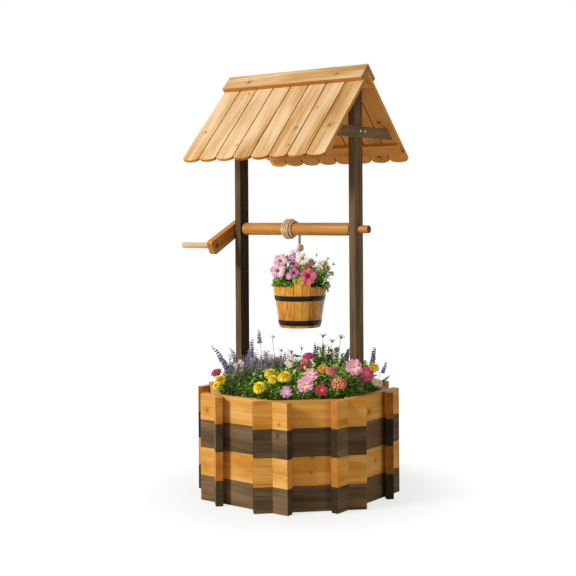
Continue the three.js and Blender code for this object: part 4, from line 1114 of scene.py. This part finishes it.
# Petals are thin and matt with a faint velvet, hearts and buds granular, leaves waxier with a paler midrib.
# Colours from the root, the middle, the tip and the veins; values are the darkest and the lightest blade.
plantLooks = {
    "daisyPetal": {"colors": "ebebd4 fbfaf5 fdfdfa e2e2da", "veins": 0.3, "values": (0.96, 1.02)},
    "flowerHeart": {"colors": "8a5c10 cf9a1e dcb236 8a5a10", "scales": (30, 30)},
    "marigoldPetal": {"colors": "e6b400 fade10 fff04a eec400", "veins": 0.3, "values": (0.88, 1.08)},
    "lightPinkPetal": {"colors": "f2dcb0 f3c3d2 eb9cbc d981a6", "middleAt": 0.3, "veins": 0.45},
    "deepPinkPetal": {"colors": "f0b46a ec5f95 e2407f c32a66", "middleAt": 0.25},
    "magentaPetal": {"colors": "8c1546 d4306f e04b86 ad1c55"},
    "redPinkPetal": {"colors": "e8c040 dc3a62 d62a5b a81743", "middleAt": 0.25},
    "coralPetal": {"colors": "f6d878 f08a72 e2566a f4b484", "hue": 0.035, "middleAt": 0.45},
    "darkRedPetal": {"colors": "8d1c33 b22b4a bf3d5c 7a1428"},
    "lilacPetal": {"colors": "efdfd8 dca6cc cf8fc0 b574ac", "middleAt": 0.35},
    "whitePinkPetal": {"colors": "e8c8c8 f3dfe2 efc6d2 dca4b8"},
    "creamPetal": {"colors": "e0c070 f2e6c0 f4ead0 dfcfa0"},
    "camomileHeart": {"colors": "3a3a10 4e4a1a 6e6a2a 2c2a0c", "scales": (30, 30)},
    "orangePetal": {"colors": "e89a20 f0a52c f2b23a d88418"},
    "terracottaPetal": {"colors": "8c4524 b8683e c57a4c 96502e"},
    "lavenderBud": {"colors": "5e5378 7f6c9c 9c88b8 5a4c78", "values": (0.6, 1.15)},
    "catmintBud": {"colors": "77766c 9a8ea6 b8acc6 786a8c", "values": (0.65, 1.15)},
    "pinkPetunia": {"colors": "8a5a3a f6dce2 e59bc0 cf74a8", "isRound": True, "middleAt": 0.36, "veins": 0.5},
    "whitePinkPetunia": {"colors": "6a2c48 f6ecec e6b8cc b878a0", "isRound": True, "innerTo": 0.12, "middleAt": 0.3},
    "hotPinkPetunia": {"colors": "6a1a30 e25c7c ec7090 b83c62", "isRound": True, "innerTo": 0.18},
    "mauvePetunia": {"colors": "5a1836 b8668e c27ca6 8c4474", "isRound": True, "innerTo": 0.2},
    "broadLeafGreen": {"colors": "406408 7dab2c b0d25c 2a4c06", "midrib": "c8dc88", "veins": 0.5, "values": (0.3, 1.95),
                       "roughness": 0.45, "sheen": 0.0, "hue": 0.025},
    "lobedLeafGreen": {"colors": "4a7010 88b02c bcd660 365606", "midrib": "d0dc88", "veins": 0.45,
                       "values": (0.35, 2.1), "roughness": 0.5, "sheen": 0.05, "hue": 0.02},
    "narrowLeafGreen": {"colors": "55633c 71805a 919c7e 4c5a38", "values": (0.6, 1.2)},
    "brightLeafGreen": {"colors": "4e7610 80aa28 b0ca58 41661a", "midrib": "b4cc7c", "values": (0.4, 1.3),
                        "roughness": 0.42, "sheen": 0.05, "hue": 0.015},
    "stemGreen": {"colors": "55702c 648036 728e40 475f26", "scales": (1.2, 3)},
}
plant = {name: plantMaterial(name, **look) for name, look in plantLooks.items()}

soilHeights = {"bed": 364, "bucket": 742}  # in mm
naturalHeights = {"sprig": 68, "leafy": 118, "bucketLeafy": 130, "spike": 95}  # in mm

# The planter's bed: sprigs all over it, lower at the front rim, taller in front of the right post
# and at the left corner
bed = {**lengths(inside=290, soil=soilHeights["bed"], spacing=22, margin=8, postX=264.3, postHalf=(13.5, 24.5),
                 postRoom=9, frontHeight=46, middleHeight=84),
       "rises": [((0.275, -0.045), 50), ((-0.15, -0.25), 10), ((0.26, 0.1), 30)]}


def wallDistance(x, y):
    return bed["inside"] - max(x * math.cos(k * math.pi / 4) + y * math.sin(k * math.pi / 4) for k in range(8))


def nearPost(x, y, room):
    return abs(abs(x) - bed["postX"]) < bed["postHalf"][0] + room and abs(y) < bed["postHalf"][1] + room


def placeAt(x, y, z=soilHeights["bed"]):
    return Vector((x, y, z)) * mm


bedParts = {"broad": [], "lobed": [], "narrow": []}
bedDice = random.Random(21)
steps = int(bed["inside"] / bed["spacing"]) + 2
for row in range(-steps, steps + 1):
    for column in range(-steps, steps + 1):
        x = (column + 0.5 * (row % 2) + bedDice.uniform(-0.35, 0.35)) * bed["spacing"]
        y = (row * 0.87 + bedDice.uniform(-0.3, 0.3)) * bed["spacing"]
        kindDraw, lean, turn, sizeDraw = (bedDice.uniform(*span) for span in ((0, 1), (0, 0.22), anyTurn, (0.86, 1.16)))
        rollDraw, fromWall = bedDice.random(), wallDistance(x, y)
        if fromWall < bed["margin"] or nearPost(x, y, bed["postRoom"]):
            continue
        depth = viewRight[0] * y - viewRight[1] * x
        height = bed["frontHeight"] + (bed["middleHeight"] - bed["frontHeight"]) * smoothStep(depth, -0.27, -0.06)
        height *= (1 - 0.22 * smoothStep(depth, 0.16, 0.28)) * (1 - 0.3 * (1 - smoothStep(fromWall, 0, 0.05)))
        for spot, rise in bed["rises"]:
            height += rise * mm * (1 - smoothStep((Vector((x, y)) - Vector(spot)).length, 0.02, 0.07))
        kind = "broad"
        if x < -0.06 and y < 0.1 and fromWall > 0.03:
            kind = "narrow" if kindDraw < 0.62 else "broad"
        elif kindDraw < (0.7 if depth > 0.0 else 0.3):
            kind = "lobed"
        size = height * sizeDraw / (naturalHeights["sprig"] * mm)
        inward = Vector((-x, -y, 0)).normalized() * 0.35 * (1 - smoothStep(fromWall, 0, 0.04))
        wide = max(size, 0.78)
        bedParts[kind].append((sprigs[kind], aimed((x, y, bed["soil"]), Vector((
            lean * math.cos(turn), lean * math.sin(turn), 1)) + inward, turn * 3, 1, (wide, wide, size)), rollDraw))
for kind, parts in bedParts.items():
    leaves = growPiece(f"planter_{kind}_foliage", parts, (kind + "LeafGreen", "stemGreen"), "well")
    if kind == "broad":
        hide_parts("planter_plants")

# Tall leafy plants carry the high daisies, and bushes stand between them: place and height in mm
tallPlants = [
    (-16, 172, 150), (13, 205, 130), (48, 220, 122), (24, 160, 122), (-4, 150, 130), (35, 186, 128), (70, -168, 80),
    (98, -150, 76), (118, -130, 84), (-109, -12, 100), (-125, -40, 118), (2, 186, 142), (28, 200, 124),
    (62, 212, 104), (84, 196, 92), (76, 160, 92), (150, 185, 92), (190, 160, 84), (225, 120, 78), (-30, 60, 90),
    (5, 20, 82), (60, 20, 78), (100, 60, 84), (284, -36, 88), (272, -46, 100), (258, -52, 104), (244, -44, 98),
    (236, -26, 96), (286, -8, 84), (268, -70, 84), (250, -72, 86), (228, -2, 92), (286, 22, 78), (232, -60, 76),
    (278, -34, 70), (264, -38, 74), (250, -40, 76), (282, -24, 64), (242, -34, 70)]
bushes = [
    (0, 168, 140), (22, 182, 124), (40, 194, 130), (-14, 152, 146), (56, 196, 112), (16, 162, 134), (4, 153, 150),
    (8, 131, 136), (64, 198, 108), (-30, 166, 112), (78, 171, 100), (58, 156, 116), (-40, 70, 96), (-20, 52, 92),
    (-6, 128, 120), (276, -44, 92), (254, -54, 96), (236, -40, 90)]
tallParts = []
for x, y, height in tallPlants:
    lean = (bedDice.uniform(-0.12, 0.12), bedDice.uniform(-0.12, 0.12), 1)
    stem = aimed(placeAt(x, y), lean, bedDice.uniform(0, 6), 1, (1.15, 1.15, height / naturalHeights["leafy"]))
    tallParts.append((sprigs["leafy"], stem, bedDice.random()))
bushSettings = {"step": 42, "top": 58, "size": 1.2, "taper": 0.2}  # heights in mm
for x, y, height in bushes:
    # one sprig above another, up to the bush's height
    levels = max(2, round(height / bushSettings["step"]))
    for level in range(levels):
        lean = (bedDice.uniform(-0.15, 0.15), bedDice.uniform(-0.2, 0.1), 1)
        foot = placeAt(x, y, soilHeights["bed"] + (height - bushSettings["top"]) * level / (levels - 1))
        size = bushSettings["size"] - bushSettings["taper"] * level / levels
        tallParts.append((sprigs["lobed"], aimed(foot, lean, bedDice.uniform(0, 6), size), bedDice.uniform(0.35, 1)))
growPiece("planter_leafy_stems", tallParts, ("lobedLeafGreen", "stemGreen"), "well")
# thin catmint fills the left
catmintSettings = {"count": 80, "x": (-225, -50), "y": (-185, 95), "rise": (40, 92), "size": (0.7, 0.7, 0.6),
                   **lengths(fromWall=25, fromPost=10)}
s = catmintSettings
wispParts = []
for i in range(s["count"]):
    x, y = bedDice.uniform(*s["x"]), bedDice.uniform(*s["y"])
    if wallDistance(x * mm, y * mm) > s["fromWall"] and not nearPost(x * mm, y * mm, s["fromPost"]):
        lean = (bedDice.uniform(-0.2, 0.12), bedDice.uniform(-0.2, 0.15), 1)
        foot = placeAt(x, y, soilHeights["bed"] + bedDice.uniform(*s["rise"]))
        wispParts.append((wisp, aimed(foot, lean, bedDice.uniform(0, 6), 1, s["size"]), bedDice.random()))
growPiece("planter_catmint", wispParts, ("catmintBud",), "well")

# Flowers: kind, petals, place in mm, width in mm, the way it faces
flowers = [
    ("marigold", "marigoldPetal", (13, -178, 450), 54, (0.1, -0.3, 1)),
    ("marigold", "marigoldPetal", (81, -183, 444), 60, (0.2, -0.25, 1)),
    ("marigold", "marigoldPetal", (43, -199, 434), 44, (0.1, -0.45, 1)),
    ("marigold", "marigoldPetal", (40, -272, 415), 56, (0.1, -0.5, 0.8)),
    ("marigold", "marigoldPetal", (-150, -262, 422), 58, (-0.2, -0.5, 0.9)),
    ("marigold", "marigoldPetal", (-138, -296, 410), 36, (-0.2, -0.8, 0.4)),
    ("marigold", "marigoldPetal", (262, 112, 459), 50, (0.5, -0.2, 0.9)),
    ("broadDaisy", "lightPinkPetal", (138, -109, 447), 58, (0.35, -0.75, 0.65)),
    ("broadDaisy", "lightPinkPetal", (165, -175, 422), 60, (0.55, -0.8, 0.5)),
    ("broadDaisy", "lilacPetal", (131, -238, 402), 44, (0.45, -0.8, 0.5)),
    ("zinnia", "redPinkPetal", (220, -154, 405), 44, (0.6, -0.7, 0.5)),
    ("cluster", "coralPetal", (190, -50, 457), 52, (0.35, -0.5, 0.85)),
    ("cluster", "coralPetal", (258, -100, 426), 62, (0.5, -0.6, 0.7)),
    ("broadDaisy", "lightPinkPetal", (285, -46, 479), 62, (0.6, -0.78, 0.35)),
    ("broadDaisy", "deepPinkPetal", (303, 6, 451), 54, (0.75, -0.65, 0.35)),
    ("broadDaisy", "creamPetal", (309, 50, 418), 30, (0.9, -0.4, 0.4)),
    ("broadDaisy", "creamPetal", (280, 120, 404), 30, (0.9, -0.3, 0.5)),
    ("cluster", "magentaPetal", (-20, 94, 478), 60, (0.15, -0.35, 1)),
    ("cluster", "coralPetal", (14, 32, 466), 48, (0.4, -0.6, 0.7)),
    ("cluster", "redPinkPetal", (36, -10, 452), 42, (0.3, -0.6, 0.8)),
    ("zinnia", "orangePetal", (118, -8, 456), 36, (0.4, -0.7, 0.7)),
    ("zinnia", "coralPetal", (10, 190, 470), 30, (0.3, -0.7, 0.6)),
    ("cluster", "darkRedPetal", (-202, -222, 440), 50, (0, -0.6, 0.85)),
    ("zinnia", "darkRedPetal", (-182, -232, 420), 36, (0.1, -0.8, 0.6)),
    ("broadDaisy", "redPinkPetal", (-180, -183, 446), 32, (0.2, -0.6, 0.8)),
    ("broadDaisy", "lilacPetal", (-158, -176, 441), 38, (0.4, -0.7, 0.6)),
    ("zinnia", "lilacPetal", (-112, 16, 470), 30, (0.4, -0.7, 0.6)),
    ("daisy", "daisyPetal", (-154, -153, 466), 42, (0.55, -0.78, 0.5)),
    ("daisy", "daisyPetal", (-58, 32, 468), 34, (0.55, -0.7, 0.6)),
    ("daisy", "daisyPetal", (7, -70, 476), 24, (0.45, -0.5, 0.9)),
    ("daisy", "daisyPetal", (10, -42, 491), 32, (0.2, -0.3, 1)),
    ("daisy", "creamPetal", (34, -92, 470), 24, (0.3, -0.5, 0.9)),
    ("camomile", "daisyPetal", (70, -185, 538), 28, (0.3, -0.15, 1)),
    ("camomile", "daisyPetal", (98, -164, 533), 30, (0.1, -0.15, 1)),
    ("camomile", "daisyPetal", (127, -142, 545), 27, (0.4, -0.15, 1)),
    ("camomile", "daisyPetal", (-1, 162, 553), 32, (0.2, -0.15, 1)),
    ("camomile", "daisyPetal", (27, 183, 533), 29, (0.3, -0.15, 1)),
    ("camomile", "daisyPetal", (54, 204, 547), 32, (0.45, -0.15, 1)),
    ("daisy", "whitePinkPetal", (17, 226, 496), 26, (0.5, -0.6, 0.6)),
    ("daisy", "daisyPetal", (-109, -7, 559), 20, (0.6, -0.2, 0.8)),
    ("daisy", "daisyPetal", (-120, 150, 470), 40, (-0.2, 0.4, 1)),
    ("marigold", "marigoldPetal", (-190, 120, 446), 50, (-0.4, 0.3, 1)),
    ("broadDaisy", "lightPinkPetal", (-60, 222, 446), 56, (-0.2, 0.7, 0.8)),
    ("zinnia", "redPinkPetal", (90, 238, 440), 42, (0.2, 0.6, 0.8)),
    ("cluster", "coralPetal", (-215, 30, 440), 46, (-0.6, 0.1, 1)),
    ("broadDaisy", "deepPinkPetal", (-140, 215, 430), 50, (-0.5, 0.6, 0.7)),
]
bucketFlowers = [
    ("petunia", "pinkPetunia", (-31, -60, 848), 54, (0.3, -0.8, 0.5)),
    ("petunia", "pinkPetunia", (-23, -86, 812), 56, (0.5, -0.85, 0.25)),
    ("petunia", "mauvePetunia", (33, -63, 804), 38, (0.45, -0.8, 0.35)),
    ("broadDaisy", "lilacPetal", (14, -66, 792), 28, (0.3, -0.9, 0.3)),
    ("petunia", "whitePinkPetunia", (-13, 3, 872), 38, (0.3, -0.7, 0.6)),
    ("broadDaisy", "lilacPetal", (-15, -11, 855), 34, (0.3, -0.9, 0.4)),
    ("petunia", "mauvePetunia", (8, -30, 836), 34, (0.5, -0.7, 0.4)),
    ("daisy", "daisyPetal", (33, -12, 855), 50, (0.62, -0.78, 0.25)),
    ("petunia", "hotPinkPetunia", (95, -57, 793), 59, (0.62, -0.78, 0.12)),
    ("zinnia", "terracottaPetal", (47, -6, 829), 28, (0.5, -0.8, 0.3)),
    ("broadDaisy", "whitePinkPetal", (50, 20, 840), 30, (0.6, -0.7, 0.3)),
    ("daisy", "creamPetal", (92, 36, 826), 29, (0.6, -0.78, 0.3)),
    ("daisy", "daisyPetal", (80, 34, 836), 28, (0.5, -0.78, 0.3)),
    ("daisy", "creamPetal", (96, 46, 836), 26, (0.7, -0.6, 0.3)),
    ("daisy", "daisyPetal", (92, 16, 818), 26, (0.6, -0.7, 0.3)),
    ("daisy", "creamPetal", (100, 54, 818), 24, (0.8, -0.5, 0.3)),
    ("daisy", "creamPetal", (100, 36, 811), 20, (0.7, -0.7, 0.1)),
    ("camomile", "daisyPetal", (52, 52, 866), 20, (0.2, -0.2, 1)),
    ("camomile", "daisyPetal", (80, 85, 852), 22, (0.4, 0.2, 1)),
    ("camomile", "daisyPetal", (94, 100, 831), 22, (0.6, 0.3, 0.8)),
    ("daisy", "daisyPetal", (92, 94, 796), 20, (0.9, -0.2, 0.3)),
    ("petunia", "pinkPetunia", (-72, 92, 815), 52, (-0.6, 0.6, 0.5)),
    ("petunia", "hotPinkPetunia", (-20, 108, 800), 54, (-0.1, 0.9, 0.4)),
    ("daisy", "daisyPetal", (-78, 40, 850), 40, (-0.6, 0.2, 0.6)),
]
# lavender: foot and tip in mm
spikes = [(-144, -221, 458, -194, -258, 550), (-166, -150, 468, -184, -164, 532), (-176, -57, 484, -173, -55, 557),
          (-181, 1, 530, -183, 0, 587), (-132, -24, 456, -128, -21, 512), (102, 168, 466, 118, 162, 520),
          (216, 170, 452, 236, 156, 530), (262, 172, 432, 276, 178, 478), (262, 172, 400, 286, 190, 425),
          (-150, -110, 446, -158, -122, 498), (-100, -75, 440, -103, -79, 484), (-60, 190, 448, -72, 210, 520),
          (-168, -196, 446, -200, -214, 506)]
flowerDice = random.Random(5)
stemSettings = {**lengths(neck=5, bend=16), "rise": 0.6, "taper": 0.35 * 8 / 9, "steps": 8}
stemRuns = []


def stemTo(head, facing, low, radius=1.3):
    # up from the soil, then over into the way the flower faces
    s = stemSettings
    facing = Vector(facing).normalized()
    neck = head - facing * s["neck"]
    pull, bend = low + upward * (neck.z - low.z) * s["rise"], neck - facing * s["bend"]
    run = []
    for t in (i / s["steps"] for i in range(s["steps"] + 1)):
        point = (1 - t) ** 3 * low + 3 * (1 - t) ** 2 * t * pull + 3 * (1 - t) * t * t * bend + t ** 3 * neck
        run.append((point, radius * mm * (1 - s["taper"] * t)))
    stemRuns.append(run)


def growStems(name, body, slot):
    stems = curvePiece(name, stemRuns, 1.0, 1, False)
    count = len(stems.data.vertices)
    writeAttribute(stems, "bladePlace", "FLOAT_VECTOR", "vector", [0.5, 0.0, 0.0] * count)
    writeAttribute(stems, "dice", "FLOAT", "value", [0.5] * count)
    finish(stems, slot, body, plant["stemGreen"])
    stemRuns.clear()


def growHead(name, kind, petals, place, width, facing, body):
    shape, natural = heads[kind]
    heart = {"camomile": "camomileHeart", "marigold": "marigoldPetal"}.get(kind, "flowerHeart")
    growPiece(name, [(shape, aimed(place, facing, flowerDice.uniform(*anyTurn), width / natural), flowerDice.random())],
              (petals, heart, "stemGreen"), body)


for number, (kind, petals, place, width, facing) in enumerate(flowers):
    place = placeAt(*place)
    growHead(f"planter_{kind}_{number + 1}", kind, petals, place, width, facing, "well")
    aside = placeAt(flowerDice.uniform(-9, 9), flowerDice.uniform(-9, 9), 0)
    stemTo(place, facing, Vector((place.x * 0.9, place.y * 0.9, bed["soil"])) + aside)
for number, spot in enumerate(spikes):
    low, tip = placeAt(*spot[:3]), placeAt(*spot[3:])
    length = (tip - low).length / mm
    wide = min(1, length / 70)
    growPiece(f"planter_lavender_{number + 1}", [(spike, aimed(low, tip - low, flowerDice.uniform(*anyTurn), 1, (
        wide, wide, length / naturalHeights["spike"])), flowerDice.random())], ("lavenderBud",), "well")
    stemTo(low + (tip - low) * 0.9, tip - low, Vector((low.x * 0.93, low.y * 0.93, bed["soil"])), 1.1)
growStems("planter_flower_stems", "well", "planting")
print("stage: planter flowers")

# The bucket's planting: leaves over the soil, broad petunia leaves on the left, thin leafy stems on the right
bucketBed = lengths(soil=soilHeights["bucket"], radius=79, spacing=13, channel=8)
bucketMiddle = Vector((*fallLine.xy, bucketBed["soil"]))
bucketParts = {"broad": [], "ovate": [], "leafy": []}
sprigDice = random.Random(31)
for row in range(-8, 9):
    for column in range(-7, 8):
        x = (column + 0.5 * (row % 2) + sprigDice.uniform(-0.3, 0.3)) * bucketBed["spacing"]
        y = (row * 0.87 + sprigDice.uniform(-0.3, 0.3)) * bucketBed["spacing"]
        turn, sizeDraw, roll = sprigDice.uniform(*anyTurn), sprigDice.uniform(0.75, 1.05), sprigDice.random()
        away = math.hypot(x, y)
        if away > bucketBed["radius"] or abs(x * -earOut.y + y * earOut.x) < bucketBed["channel"]:
            continue
        lateral = viewRight[0] * x + viewRight[1] * y
        kind, size = "broad", 0.95
        if lateral < -0.012 and y < 0.03:
            kind, size = "ovate", 0.86
        elif lateral > 0.03:
            kind, size = "leafy", 0.62
        outward = Vector((x, y, 0)) / max(away, 1e-6) * 0.3 * (away / bucketBed["radius"])
        bucketParts[kind].append((sprigs[kind], aimed(Vector((x, y, 0)) + bucketMiddle, upward + outward, turn,
                                                      size * sizeDraw * (1.2 if away < 0.05 else 0.95)), roll))
# tall stems: place, lean and length
for x, y, lean, across, length in (
        (62, 8, 0.25, -0.1, 96), (70, 30, 0.35, 0.05, 104), (66, 48, 0.4, 0.25, 92), (52, 24, 0.1, 0, 110),
        (48, 52, 0.2, 0.3, 100), (36, 30, 0.05, 0, 96), (20, 20, 0, -0.1, 104), (30, 62, 0, 0.4, 90),
        (0, 10, -0.1, -0.1, 96), (-20, 0, -0.15, -0.2, 92), (74, 14, 0.4, -0.1, 84), (60, 34, 0.3, 0.1, 104),
        (-10, -20, 0, -0.3, 88), (8, -24, 0.1, -0.3, 92), (-34, -10, -0.2, -0.3, 84), (20, -10, 0.1, -0.2, 96),
        (34, 4, 0.15, -0.1, 98), (-36, 30, -0.3, 0, 84), (44, -12, 0.25, -0.25, 84), (76, 50, 0.5, 0.2, 80),
        (-20, -40, 0, -0.2, 92), (-6, -42, 0.1, -0.2, 86), (-34, -28, -0.1, -0.1, 96), (6, -44, 0.1, -0.25, 72),
        (18, -36, 0.15, -0.2, 80), (-14, -12, 0, 0, 104), (68, 20, 0.3, 0, 92), (64, 40, 0.3, 0.15, 96),
        (72, 36, 0.4, 0.1, 88), (56, 50, 0.2, 0.3, 100), (-30, -20, 0, -0.05, 116), (-22, -34, 0, -0.1, 114)):
    stem = aimed(placeAt(x, y, soilHeights["bucket"]), (lean, across, 1), sprigDice.uniform(0, 6), 1,
                 (1.15, 1.15, length / naturalHeights["bucketLeafy"]))
    bucketParts["leafy"].append((sprigs["leafy"], stem, sprigDice.random()))
for x, y, z in ((-28, -24, 778), (-20, -40, 768)):
    bucketParts["broad"].append((sprigs["broad"], aimed(placeAt(x, y, z), (-0.1, -0.1, 1), x), 0.4))
# leaves laid over the rim and the ear: foot in mm, the way down the leaf, size
laidLeaves = [((90, 53, 764), (0.25, 0.18, -0.95), 1.35), ((94, 40, 768), (0.6, 0.1, -0.6), 1.1),
              ((84, 66, 768), (0.3, 0.4, -0.6), 1.1), ((80, 30, 772), (0.8, -0.1, 0.3), 1.2),
              ((84, 44, 782), (0.9, 0.2, 0.4), 1.2), ((76, 20, 786), (0.7, -0.2, 0.6), 1.2),
              ((78, 54, 794), (0.6, 0.4, 0.7), 1.2), ((44, -50, 797), (0.3, -0.42, -0.86), 0.95),
              ((38, -56, 790), (0.1, -0.6, -0.5), 0.8)]
for a in (math.radians(-172 + 8.5 * i) for i in range(13)):
    laidLeaves.append(((-8 + 76 * math.cos(a), 27.6 + 76 * math.sin(a), 757 + 5 * math.sin(a * 9)),
                       (math.cos(a), math.sin(a), 0.35 + 0.3 * math.cos(a * 13)), 0.85 + 0.12 * math.sin(a * 5)))
for foot, down, size in laidLeaves:
    along = Vector(down).normalized()
    side = along.cross(Vector((0.6, -0.8, 0.35))).normalized()
    laid = Matrix.Translation(placeAt(*foot)) @ Matrix((side, along, side.cross(along))).transposed().to_4x4()
    kind, leaf = ("broad", lobedLeaf) if foot[0] > 60 else ("ovate", ovateLeaf)
    bucketParts[kind].append((leaf, laid @ Matrix.Scale(size, 4), sprigDice.random()))
for kind, parts in bucketParts.items():
    leaves = growPiece(f"bucket_{kind}_foliage", parts,
                       ("broadLeafGreen" if kind == "broad" else "brightLeafGreen", "stemGreen"),
                       "bucket")
    if kind == "broad":
        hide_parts("bucket_plants")
for number, (kind, petals, place, width, facing) in enumerate(bucketFlowers):
    place = placeAt(*place)
    growHead(f"bucket_{kind}_{number + 1}", kind, petals, place, width, facing, "bucket")
    away = Vector((place.x, place.y, 0)) - fallLine
    stemTo(place, facing, bucketMiddle + away.normalized() * min(away.length * 0.7, 0.07), 1.0 if width > 20 else 0.6)
growStems("bucket_flower_stems", "bucket", "bucket_planting")
print("stage: bucket planting")
